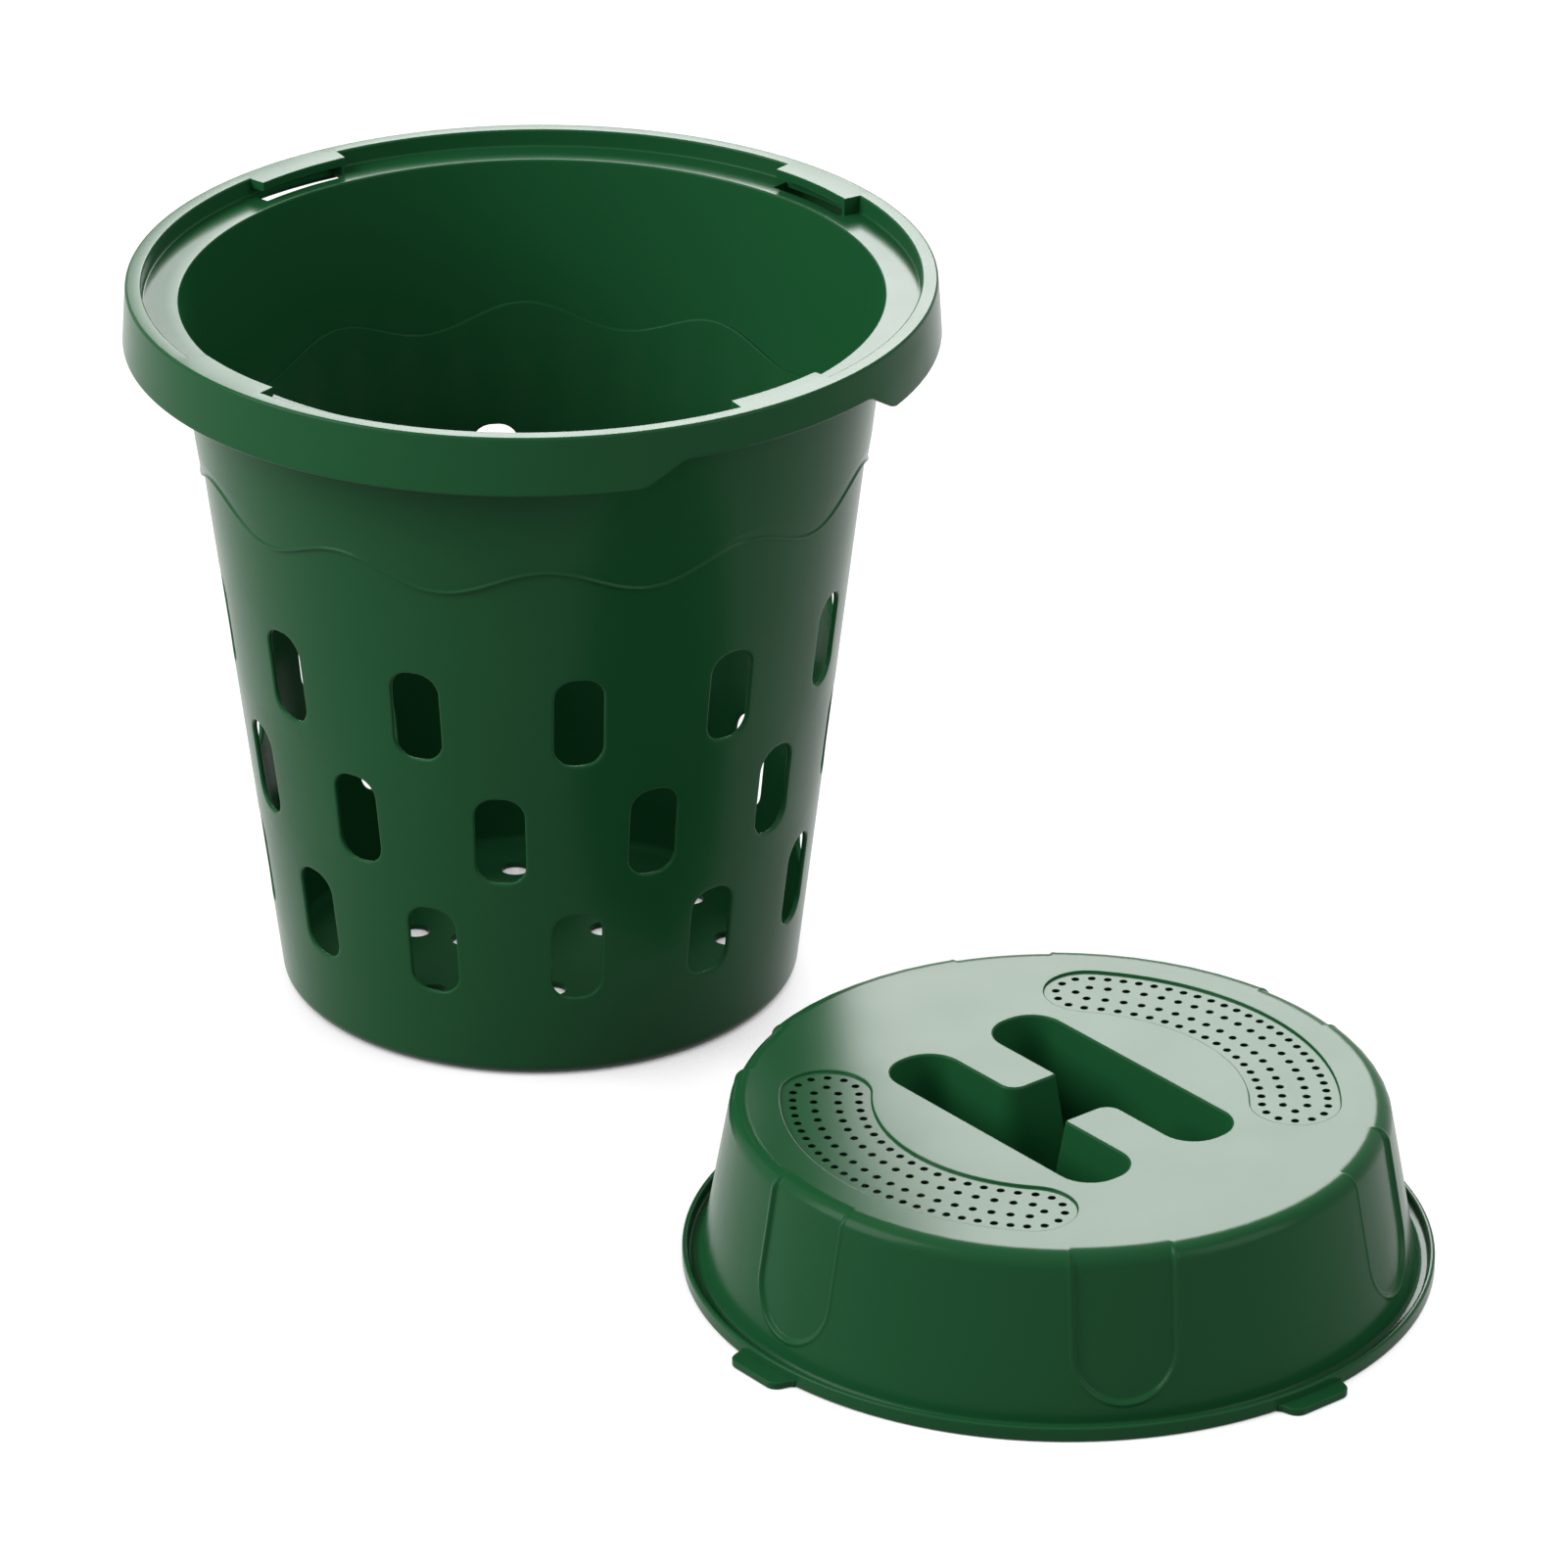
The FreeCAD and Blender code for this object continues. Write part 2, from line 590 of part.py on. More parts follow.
def vent_recess(body, s):
    """Two shallow kidney-shaped recesses, opposite each other and concentric with the lid."""
    sketch = attached_sketch(body, "VentOutline", "XY_Plane", rise=s.lid_height)
    half = s.vent_width / 2
    reach = math.radians(s.vent_reach.value)
    up = Vector(0, 0, 1)
    arcs = []
    for radius in (s.vent_radius + half, s.vent_radius - half):
        arcs.append(sketch.addGeometry(
            Part.ArcOfCircle(Part.Circle(Vector(), up, radius.value), -reach, reach)))
        sketch.addConstraint(Sketcher.Constraint("Coincident", arcs[-1], 3, -1, 1))
        index = sketch.addConstraint(Sketcher.Constraint("Radius", arcs[-1], radius.value))
        bind(sketch, "Constraints[%d]" % index, radius)
    for side in (1, -1):
        x, y = s.vent_radius * s.vent_reach.cos(), s.vent_radius * s.vent_reach.sin() * side
        first = side * reach - (0 if side > 0 else math.pi)
        end = sketch.addGeometry(Part.ArcOfCircle(
            Part.Circle(Vector(x.value, y.value, 0), up, half.value), first, first + math.pi))
        outer_end, inner_end = (1, 2) if side > 0 else (2, 1)
        tip = 2 if side > 0 else 1
        sketch.addConstraint(Sketcher.Constraint("Tangent", end, outer_end, arcs[0], tip))
        sketch.addConstraint(Sketcher.Constraint("Tangent", end, inner_end, arcs[1], tip))
        fix_coordinate(sketch, "DistanceY", end, 3, y)
    repeated(body, "VentPair", [pushed(body, "Vent", "Pocket", sketch, s.vent_depth)], VENT_COUNT)


def bayonet_lugs(body, s, f):
    """Four flat tongues at the foot of the lip that turn in under the bucket's tabs."""
    root = f.flange_radius - s.lip_width
    sketch = draw_outline(attached_sketch(body, "LugOutline", "XY_Plane"), [
        (root, -f.lug_half, None), (f.lug_radius, -f.lug_half, soft(s.lug_round)),
        (f.lug_radius, f.lug_half, soft(s.lug_round)), (root, f.lug_half, None)])
    repeated(body, "LugRing", [pushed(body, "Lug", "Pad", sketch, s.lug_thickness)], BAYONET_COUNT)


def lid(doc, s, f):
    """The whole lid: its outer form less the core that makes it a shell of even thickness."""
    height, floor = s.lid_height, s.flange_thickness
    lip_inner = f.flange_radius - s.lip_width
    outer = collar(doc, "LidOuter", [
        (0, 0, None),
        (f.flange_radius, 0, None),
        (f.flange_radius, s.lip_height, edge(s.edge_round)),
        (lip_inner, s.lip_height, edge(s.edge_round)),
        (lip_inner - s.lip_draft, floor, None),
        (f.wall(floor), floor, edge(s.foot_round)),
        (f.wall(height), height, soft(s.lid_edge_round)),
        (0, height, None),
    ])
    bayonet_lugs(outer, s, f)
    vent_recess(outer, s)
    handle_pocket(outer, s, "HandlePocket", Size.of(0))

    ceiling = height - s.lid_wall
    core = collar(doc, "LidCore", [
        (0, -OVERRUN, None),
        (f.wall(Size.of(-OVERRUN), s.lid_wall), -OVERRUN, None),
        (f.wall(ceiling, s.lid_wall), ceiling, soft(s.lid_edge_round - s.lid_wall)),
        (0, ceiling, None),
    ])
    handle_pocket(core, s, "HandleBoss", s.lid_wall)

    panels = arched_panels(doc, "Panels", s, f, s.arch_depth, Size.of(0))
    backs = arched_panels(doc, "PanelBacks", s, f, s.arch_depth + s.lid_wall, s.lid_wall)
    panelled = combined(doc, "LidPanelled", "Cut", outer, panels)
    core_cut = combined(doc, "CorePanelled", "Cut", core, backs)
    result = combined(doc, "Lid", "Cut", panelled, core_cut)
    result.Label = "lid"
    return result


def check(doc, pieces):
    """Stops the build if any object failed or a piece isn't one valid solid."""
    for item in doc.Objects:
        if "Invalid" in item.State or "Error" in item.State:
            raise RuntimeError("%s failed: %s" % (item.Name, item.State))
    for piece in pieces:
        shape = piece.Shape
        if shape.isNull() or not shape.isValid() or len(shape.Solids) != 1:
            raise RuntimeError("%s isn't one valid solid" % piece.Label)


def main():
    doc = FreeCAD.newDocument("InGroundComposter")
    sheet = Sheet(doc, SIZES)
    bucket_form = BucketForm(sheet)
    lid_form = LidForm(sheet, bucket_form)
    pieces = [bucket(doc, sheet, bucket_form), lid(doc, sheet, lid_form)]
    apart = bucket_form.skirt_radius + lid_form.lug_radius + sheet.lid_gap
    pieces[1].Placement = Placement(Vector(0, -apart.value, 0), Rotation())
    bind(pieces[1], "Placement.Base.y", -apart)
    doc.recompute()
    check(doc, pieces)
    os.makedirs("parts", exist_ok=True)
    for piece in pieces:
        piece.Shape.exportStep(os.path.join("parts", piece.Label + ".step"))
        box = piece.Shape.BoundBox
        print(piece.Label, "volume %.0f" % piece.Shape.Volume, "faces", len(piece.Shape.Faces),
              "size %.1f x %.1f x %.1f" % (box.XLength, box.YLength, box.ZLength))


main()
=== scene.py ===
"""In-ground composter: a slotted green bucket with its vented twist-lock lid lying beside it.

Sizes are in millimetres and are scaled to the frame's metres where vertices are placed. The bucket
stands on the frame's origin and the lid lies on the same ground, in the place its CAD node gives.
"""

import logging
import math
from collections.abc import Callable, Iterable, Mapping, Sequence
from dataclasses import dataclass
from enum import Enum

import bmesh
import bpy
from mathutils import Matrix, Vector

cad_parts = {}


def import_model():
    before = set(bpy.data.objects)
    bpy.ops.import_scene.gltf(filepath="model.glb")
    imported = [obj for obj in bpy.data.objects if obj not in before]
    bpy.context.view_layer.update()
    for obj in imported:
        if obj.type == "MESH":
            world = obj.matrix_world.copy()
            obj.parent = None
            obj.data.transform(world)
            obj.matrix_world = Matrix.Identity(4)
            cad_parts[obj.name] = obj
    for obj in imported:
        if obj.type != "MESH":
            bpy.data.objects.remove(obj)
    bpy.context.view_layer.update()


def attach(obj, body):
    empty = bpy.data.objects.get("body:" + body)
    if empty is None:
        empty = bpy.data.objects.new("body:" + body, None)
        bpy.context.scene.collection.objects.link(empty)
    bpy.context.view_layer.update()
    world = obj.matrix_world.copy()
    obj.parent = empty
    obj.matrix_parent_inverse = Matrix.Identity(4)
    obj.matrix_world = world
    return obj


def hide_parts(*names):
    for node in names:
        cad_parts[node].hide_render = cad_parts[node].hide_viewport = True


MM = 0.001
SEAM = 0.004  # points nearer than this are merged
LEVEL = 0.02  # heights nearer than this are the same
MARGIN = 1.6  # width of the flat beside a rounded edge, in radii of the round
MID_ROUND = 0.3  # distance of a small round's middle from either face, in radii of the round
COLUMN = "column"
log = logging.getLogger("composter")

Piece = bpy.types.Object
Tree = bpy.types.NodeTree
Node = bpy.types.Node
Socket = bpy.types.NodeSocket
Flat = tuple[float, float]
Point = tuple[float, float, float]
Ring = list[Point]
Round = float | Callable[[float], float]
Inputs = Mapping[str | int, float | tuple[float, ...] | Socket]


def polar(radius: float, turn: float, height: float) -> Point:
    """A point at a radius and a turn in degrees about the upright axis."""
    angle = math.radians(turn)
    return radius * math.cos(angle), radius * math.sin(angle), height


def blend(start: float, end: float, share: float) -> float:
    """The value a share of the way from start to end."""
    return start + (end - start) * share


def spaced(start: float, end: float, steps: int) -> list[float]:
    """Evenly spaced values from start to end, both included."""
    return [blend(start, end, i / steps) for i in range(steps + 1)]


def arc(centre: Flat, radius: float, start: float, end: float, steps: int) -> list[Flat]:
    """Points along an arc between two angles in degrees, both ends included."""
    reaches = [polar(radius, turn, 0) for turn in spaced(start, end, steps)]
    return [(centre[0] + x, centre[1] + y) for x, y, _ in reaches]


def edge_steps(radius: float, steps: int) -> list[Flat]:
    """Points of a rounded edge: how far out from the wall, and how deep below the face."""
    return arc((radius, radius), radius, -90, -180, steps)


def circle(radius: float, height: float, columns: int) -> Ring:
    """A level ring about the upright axis."""
    return [polar(radius, 360 * i / columns, height) for i in range(columns)]


def at_height(outline: Iterable[Flat], height: float) -> Ring:
    """A flat outline laid at a height."""
    return [(x, y, height) for x, y in outline]


def rounded(corners: Sequence[Point], steps: int) -> list[Flat]:
    """A closed outline with rounded corners.

    Args:
        corners: x, y and radius of each corner in order.
        steps: chords in each round.

    Returns:
        The outline's points, steps + 1 for each corner.
    """
    points = []
    for i, (x, y, radius) in enumerate(corners):
        at = Vector((x, y))
        into = (Vector(corners[i - 1][:2]) - at).normalized()
        away = (Vector(corners[(i + 1) % len(corners)][:2]) - at).normalized()
        half = into.angle(away) / 2
        centre = at + (into + away).normalized() * (radius / math.sin(half))
        start = at + into * (radius / math.tan(half)) - centre
        sweep = start.angle_signed(at + away * (radius / math.tan(half)) - centre)
        points += [tuple(centre + Matrix.Rotation(-sweep * k / steps, 2) @ start)
                   for k in range(steps + 1)]
    return points


def grown(name: str, rings: Sequence[Ring], closed: bool = True) -> Piece:
    """Grows a surface ring by ring: a line of vertices is extruded from each ring to the next.

    Args:
        name: the object's name.
        rings: the rings in order, in millimetres, each with one point for every column.
        closed: whether the line comes back to its start.

    Returns:
        The surface, open at its first and last ring.
    """
    bpy.ops.mesh.primitive_circle_add(vertices=len(rings[0]), radius=MM)
    piece = bpy.context.object
    piece.name = name
    bpy.ops.object.mode_set(mode="EDIT")
    bpy.ops.mesh.select_mode(type="EDGE")
    mesh = bmesh.from_edit_mesh(piece.data)
    column = mesh.verts.layers.int.new(COLUMN)
    mesh.verts.ensure_lookup_table()
    for number, vert in enumerate(mesh.verts):
        vert[column] = number
    if not closed:
        ends = {mesh.verts[0], mesh.verts[len(rings[0]) - 1]}
        for edge in mesh.edges:
            edge.select_set(set(edge.verts) == ends)
        bpy.ops.mesh.delete(type="EDGE")
    bpy.ops.mesh.select_all(action="SELECT")
    for number, ring in enumerate(rings):
        if number:
            bpy.ops.mesh.extrude_region()
        mesh = bmesh.from_edit_mesh(piece.data)
        column = mesh.verts.layers.int[COLUMN]
        for vert in mesh.verts:
            if vert.select:
                vert.co = Vector(ring[vert[column]]) * MM
        bmesh.update_edit_mesh(piece.data)
    bpy.ops.object.mode_set(mode="OBJECT")
    return piece


def copied(piece: Piece, places: Iterable[Matrix]) -> list[Piece]:
    """Copies of a piece, each with its own mesh, that take the place of the piece itself.

    Args:
        piece: the piece that is repeated.
        places: one matrix for each copy, in metres.

    Returns:
        The copies.
    """
    copies = []
    for matrix in places:
        twin = piece.copy()
        twin.data = piece.data.copy()
        twin.data.transform(matrix)
        bpy.context.collection.objects.link(twin)
        copies.append(twin)
    bpy.data.objects.remove(piece)
    return copies


def moved_copies(piece: Piece, places: Iterable[Point]) -> list[Piece]:
    """Copies of a piece at places in millimetres."""
    return copied(piece, [Matrix.Translation(Vector(place) * MM) for place in places])


def turned_copies(piece: Piece, count: int, start: float = 0.0) -> list[Piece]:
    """Copies of a piece evenly round the upright axis, the first one at a start in degrees."""
    turns = spaced(math.radians(start), math.radians(start + 360), count)[:-1]
    return copied(piece, [Matrix.Rotation(turn, 4, "Z") for turn in turns])


def select_only(pieces: Sequence[Piece]) -> None:
    """Selects pieces and nothing else, and makes the first one active."""
    bpy.ops.object.select_all(action="DESELECT")
    for piece in pieces:
        piece.select_set(True)
    bpy.context.view_layer.objects.active = pieces[0]


def joined(name: str, pieces: Sequence[Piece]) -> Piece:
    """Joins pieces into one mesh and merges the seams between them.

    Args:
        name: the name of the joined object.
        pieces: what is joined.

    Returns:
        The joined object.
    """
    select_only(pieces)
    bpy.ops.object.join()
    whole = bpy.context.object
    whole.name = whole.data.name = name
    bpy.ops.object.mode_set(mode="EDIT")
    bpy.ops.mesh.select_all(action="SELECT")
    bpy.ops.mesh.remove_doubles(threshold=SEAM * MM)
    bpy.ops.object.mode_set(mode="OBJECT")
    return whole


def select_rim(piece: Piece, wanted: Callable[[Vector], bool]) -> None:
    """Selects open edges of a piece in edit mode.

    Args:
        piece: the piece that is being edited.
        wanted: whether a vertex, given in millimetres, belongs to the selection.
    """
    bpy.ops.mesh.select_mode(type="EDGE")
    bpy.ops.mesh.select_all(action="DESELECT")
    mesh = bmesh.from_edit_mesh(piece.data)
    for edge in mesh.edges:
        edge.select_set(edge.is_boundary and all(wanted(vert.co / MM) for vert in edge.verts))
    mesh.select_flush(True)
    bmesh.update_edit_mesh(piece.data)


def fill_flat(piece: Piece, height: float, side: int = 0) -> None:
    """Fills the flat face between all open rims at one height.

    Args:
        piece: the piece that is filled.
        height: height of the face, in millimetres.
        side: 1 or -1 for only the rims on that side along X, 0 for all.
    """
    select_only([piece])
    bpy.ops.object.mode_set(mode="EDIT")
    select_rim(piece, lambda at: abs(at.z - height) < LEVEL and at.x * side >= 0)
    bpy.ops.mesh.fill(use_beauty=True)
    bpy.ops.object.mode_set(mode="OBJECT")


def smoothed(piece: Piece, angle: float) -> None:
    """Turns the faces outwards and shades them smooth, with the flats flat beside the rounds.

    Args:
        piece: the piece that is finished.
        angle: edges that bend by more than this many degrees stay sharp.
    """
    select_only([piece])
    bpy.ops.object.mode_set(mode="EDIT")
    bpy.ops.mesh.select_all(action="SELECT")
    bpy.ops.mesh.normals_make_consistent(inside=False)
    bpy.ops.object.mode_set(mode="OBJECT")
    bpy.ops.object.shade_smooth_by_angle(angle=math.radians(angle))
    bpy.ops.object.modifier_add(type="WEIGHTED_NORMAL")
    flat_faces = piece.modifiers[-1]
    flat_faces.keep_sharp = True
    bpy.ops.object.modifier_apply(modifier=flat_faces.name)


def fed(tree: Tree, node: Node, inputs: Inputs) -> Node:
    """Sets or links a node's inputs.

    Args:
        tree: the node tree that the node is in.
        node: the node.
        inputs: for each input a plain value, or the output that is linked to it.

    Returns:
        The same node.
    """
    for name, value in inputs.items():
        if isinstance(value, Socket):
            tree.links.new(value, node.inputs[name])
        else:
            node.inputs[name].default_value = value
    return node


def worked_out(tree: Tree, operation: str, *values: float | Socket) -> Socket:
    """Adds a Math node on numbers or other nodes' outputs.

    Args:
        tree: the node tree that it goes into.
        operation: the node's operation.
        values: its inputs in order.

    Returns:
        The node's output.
    """
    node = tree.nodes.new("ShaderNodeMath")
    node.operation = operation
    return fed(tree, node, dict(enumerate(values))).outputs["Value"]


@dataclass(frozen=True)
class MouldedPlastic:
    """Satin moulded plastic: even colour, faint flow clouds and a fine moulded grain."""

    name: str
    colour: Point = (0.0105, 0.079, 0.026)
    cloud_colour: Point = (0.0125, 0.091, 0.030)
    roughness: float = 0.23
    roughness_swing: float = 0.05
    ior: float = 1.5
    specular: float = 0.075
    grain_height: float = 0.006
    grain_strength: float = 0.25

    def material(self) -> bpy.types.Material:
        """Builds the finish, or gives it if it was built before."""
        found = bpy.data.materials.get(self.name)
        if found:
            return found
        material = bpy.data.materials.new(self.name)
        material.use_nodes = True
        tree = material.node_tree
        surface = tree.nodes.new("ShaderNodeGroup")
        surface.node_tree = moulded_surface()
        fed(tree, surface, {"Colour": (*self.colour, 1), "Cloud Colour": (*self.cloud_colour, 1),
                            "Roughness": self.roughness, "Swing": self.roughness_swing})
        bump = fed(tree, tree.nodes.new("ShaderNodeBump"),
                   {"Strength": self.grain_strength, "Distance": self.grain_height * MM,
                    "Height": surface.outputs["Grain"]})
        fed(tree, tree.nodes["Principled BSDF"],
            {"IOR": self.ior, "Specular IOR Level": self.specular,
             "Base Color": surface.outputs["Colour"], "Roughness": surface.outputs["Roughness"],
             "Normal": bump.outputs["Normal"]})
        return material


GLOSS_PLASTIC = MouldedPlastic("moulded_green")
MATT_PLASTIC = MouldedPlastic("moulded_green_matt", roughness=0.75)

# Scale per metre and detail of each noise on the moulded surface
CLOUD_NOISE = (9.0, 3.0)
GLOSS_NOISE = (38.0, 4.0)
GRAIN_NOISE = (900.0, 2.0)


def moulded_surface() -> Tree:
    """The shared surface of moulded plastic: colour clouds, uneven gloss and a fine grain.

    Returns:
        The node group, built once.
    """
    found = bpy.data.node_groups.get("moulded_surface")
    if found:
        return found
    group = bpy.data.node_groups.new("moulded_surface", "ShaderNodeTree")
    sockets = (("Colour", "INPUT", "NodeSocketColor"), ("Cloud Colour", "INPUT", "NodeSocketColor"),
               ("Roughness", "INPUT", "NodeSocketFloat"), ("Swing", "INPUT", "NodeSocketFloat"),
               ("Colour", "OUTPUT", "NodeSocketColor"), ("Roughness", "OUTPUT", "NodeSocketFloat"),
               ("Grain", "OUTPUT", "NodeSocketFloat"))
    for name, way, kind in sockets:
        group.interface.new_socket(name=name, in_out=way, socket_type=kind)
    given = group.nodes.new("NodeGroupInput")
    place = group.nodes.new("ShaderNodeTexCoord")

    def noise(scale: float, detail: float) -> Socket:
        """Adds a noise over the object and gives its value."""
        inputs = {"Vector": place.outputs["Object"], "Scale": scale, "Detail": detail}
        return fed(group, group.nodes.new("ShaderNodeTexNoise"), inputs).outputs["Fac"]

    colour = group.nodes.new("ShaderNodeMix")
    colour.data_type = "RGBA"
    fed(group, colour, {"Factor": noise(*CLOUD_NOISE), "A": given.outputs["Colour"],
                        "B": given.outputs["Cloud Colour"]})
    centred = worked_out(group, "SUBTRACT", noise(*GLOSS_NOISE), 0.5)
    uneven = worked_out(group, "MULTIPLY_ADD", centred, given.outputs["Swing"],
                        given.outputs["Roughness"])
    fed(group, group.nodes.new("NodeGroupOutput"),
        {"Colour": colour.outputs["Result"], "Roughness": uneven, "Grain": noise(*GRAIN_NOISE)})
    return group


class RimPart(Enum):
    """What stands over the lid ledge at one place round the bucket's rim."""

    PLAIN = "open ledge"
    TAB = "tab over a window"
    STOP = "stop wall under the tab's end"


@dataclass
class Bucket:
    """The bucket: slotted wall, wavy joggle, stepped rim with bayonet tabs, and drained floor."""

    height: float = 310.5
    base_radius: float = 107.5
    mouth_radius: float = 143.3
    wall: float = 2.2
    floor: float = 2.6
    base_fillet: float = 6.0
    joggle: float = 1.4
    wave_height: float = 234.0
    wave_rise: float = 2.7
    wave_amplitude: float = 5.4
    waves: int = 10
    wave_edge: float = 0.5
    rim_radius: float = 165.0
    rim_width: float = 6.7
    rim_wall: float = 2.2
    rim_band: float = 24.4
    rim_round: float = 1.2
    skirt_flare: float = 1.6
    skirt_level: float = 8.0
    skirt_edge: float = 0.4
    ledge_drop: float = 7.6
    ledge_clear: float = 4.0
    edge_round: float = 0.8
    grip_width: float = 126.6
    grip_run: float = 16.2
    grip_rise: float = 10.2
    grip_round: float = 9.0
    grip_foot_round: float = 3.0
    slot_width: float = 20.6
    slot_length: float = 40.0
    slot_round: float = 8.6
    slot_edge: float = 0.9
    slots: int = 12
    slot_rows: int = 3
    slot_base: float = 57.6
    slot_pitch: float = 55.6
    drain_radius: float = 6.0
    drain_edge: float = 0.4
    tabs: int = 4
    tab_reach: float = 7.3
    tab_thickness: float = 4.0
    tab_edge: float = 0.7
    tab_back: float = 0.3
    tab_start: float = -6.65
    tab_end: float = 9.85
    stop_end: float = -5.95
    stop_foot: float = 0.4
    window_margin: float = 2.0

    # Rise over the wavy line, and place against the joggle's face, of the bead along the line
    BEAD = ((0.05, -0.5), (0.2, -0.15), (0.5, 0.05), (0.85, 0.05), (1.1, -0.1), (1.5, -0.42),
            (1.75, -0.52), (2.2, -0.5), (4.0, -0.3))
    # Radius and number of holes of each ring of drains
    DRAINS = ((34.0, 6), (57.0, 6), (80.0, 12))
    DRAIN_SIDES = 24
    COLUMNS = 240
    TILE_ACROSS = 20
    TILE_UP = 12
    TILE_SHARES = (1.0, 0.66, 0.36, 0.14)
    END_SLIVER = 0.05
    GRIP_WINDOW = 15.0
    GRIP_TIGHT = 0.3
    WINDOW_SLACK = 0.1
    FLOOR_FACING = 0.2
    CREASE = 38.0

    def __post_init__(self) -> None:
        """Works out the places that several features share."""
        self.ledge = self.height - self.ledge_drop
        self.ledge_under = self.ledge - self.rim_wall
        self.rim_inner = self.rim_radius - self.rim_width
        self.tab_inner = self.rim_inner - self.tab_reach
        self.slope = (self.mouth_radius + self.wall - self.joggle - self.base_radius) / self.ledge
        self.tile_half = self.slot_pitch / 2
        self.slots_low = self.slot_base - self.tile_half
        self.slots_high = self.slots_low + self.slot_rows * self.slot_pitch
        self.window_inner = self.tab_inner - self.window_margin
        self.window_outer = self.rim_inner - self.edge_round
        self.even = [360.0 * i / self.COLUMNS for i in range(self.COLUMNS)]
        self.stands = [self.bayonet(turn) for turn in self.even]
        self.by_tabs = [turn for turn, _ in self.stands]
        self.by_grips = [self.grip_turn(turn) for turn in self.even]

    def outside(self, height: float) -> float:
        """Outer radius of the wall below the wavy line."""
        return self.base_radius + self.slope * height

    def wave(self, turn: float) -> float:
        """Height of the wavy line outside, lowest at turn 0."""
        return self.wave_height - self.wave_amplitude * math.cos(math.radians(self.waves * turn))

    def slot_edge_point(self, across: float, up: float, grow: float) -> Flat:
        """Where a ray from a slot's middle meets the slot's outline.

        Args:
            across: sideways part of the ray's direction.
            up: upward part of the ray's direction.
            grow: margin by which the outline is grown.

        Returns:
            The sideways and upward distance of the point from the slot's middle.
        """
        half_width, half_length = self.slot_width / 2 + grow, self.slot_length / 2 + grow
        radius = self.slot_round + grow
        corner_x, corner_z = half_width - radius, half_length - radius
        x, z = abs(across), abs(up)
        if z * half_width <= corner_z * x:
            hit = half_width / x
        elif x * half_length <= corner_x * z:
            hit = half_length / z
        else:
            along = x * corner_x + z * corner_z
            reach = x * x + z * z
            beyond = corner_x**2 + corner_z**2 - radius**2
            hit = (along + math.sqrt(along**2 - reach * beyond)) / reach
        return across * hit, up * hit

    def tile_border(self) -> list[Flat]:
        """The border of the wall's tile round one slot, as turns and heights from its middle."""
        half_turn, half = 180.0 / self.slots, self.tile_half
        across = spaced(-half_turn, half_turn, self.TILE_ACROSS)
        up = spaced(-half, half, self.TILE_UP)
        border = [(turn, -half) for turn in across[:-1]] + [(half_turn, rise) for rise in up[:-1]]
        return border + [(-turn, -rise) for turn, rise in border]

    def slot_tile(self, row: int) -> Piece:
        """One slot with the wall round it: inner face, slot edges and outer face in one skin.

        Args:
            row: 0 for the lowest row of slots.

        Returns:
            The tile, centred on turn 0.
        """
        middle = self.slot_base + row * self.slot_pitch
        border = self.tile_border()
        reach = self.outside(middle)

        def ring(share: float, grow: float, depth: float) -> Ring:
            """The ring a share of the way from the slot's grown edge to the tile's border."""
            points = []
            for turn, rise in border:
                x, z = self.slot_edge_point(reach * math.radians(turn), rise, grow)
                slot_turn = math.degrees(math.asin(x / self.outside(middle + z)))
                height = middle + blend(z, rise, share)
                radius = self.outside(height) - depth
                points.append(polar(radius, blend(slot_turn, turn, share), height))
            return points

        soft = self.slot_edge
        edge = edge_steps(soft, 3)
        rings = [ring(share, soft, self.wall) for share in self.TILE_SHARES]
        rings += [ring(0, grow, self.wall - depth) for grow, depth in edge]
        rings += [ring(0, grow, depth) for grow, depth in reversed(edge)]
        rings += [ring(share, soft, 0) for share in reversed(self.TILE_SHARES)]
        return grown("slot_tile", rings)

    def slotted_wall(self) -> list[Piece]:
        """The rows of slots, every other row half a pitch round from the others."""
        half_pitch = 180.0 / self.slots
        rows = [turned_copies(self.slot_tile(row), self.slots, half_pitch * (row % 2))
                for row in range(self.slot_rows)]
        return [tile for row in rows for tile in row]

    def bayonet(self, turn: float) -> tuple[float, RimPart]:
        """Where a column stands at the bayonet, and what is there.

        Args:
            turn: the column's even turn, in degrees.

        Returns:
            The turn of the column, gathered to the nearest end of a tab, and the rim's part there.
        """
        pitch = 360.0 / self.tabs
        middle = pitch * math.floor(turn / pitch + 0.5)
        sliver = self.END_SLIVER
        columns = {
            -5: (self.tab_start - sliver, RimPart.PLAIN),
            -4: (self.tab_start + sliver, RimPart.STOP),
            -3: (self.stop_end - sliver, RimPart.STOP),
            -2: (self.stop_end + sliver, RimPart.TAB),
            6: (self.tab_end - sliver, RimPart.TAB),
            7: (self.tab_end + sliver, RimPart.PLAIN),
        }
        number = round((turn - middle) * self.COLUMNS / 360.0)
        if number in columns:
            gathered, part = columns[number]
            return middle + gathered, part
        return turn, RimPart.TAB if -2 < number < 6 else RimPart.PLAIN

    def grip_turn(self, turn: float) -> float:
        """A column's turn, gathered towards the nearest slanted end of a hand grip."""
        slant = math.degrees(math.asin((self.grip_width - self.grip_run) / 2 / self.rim_radius))
        window, tight = self.GRIP_WINDOW, self.GRIP_TIGHT
        for end in (90 - slant, 90 + slant, 270 - slant, 270 + slant):
            away = (turn - end) / window
            if abs(away) < 1:
                return end + window * away * (tight + (1 - tight) * away * away)
        return turn

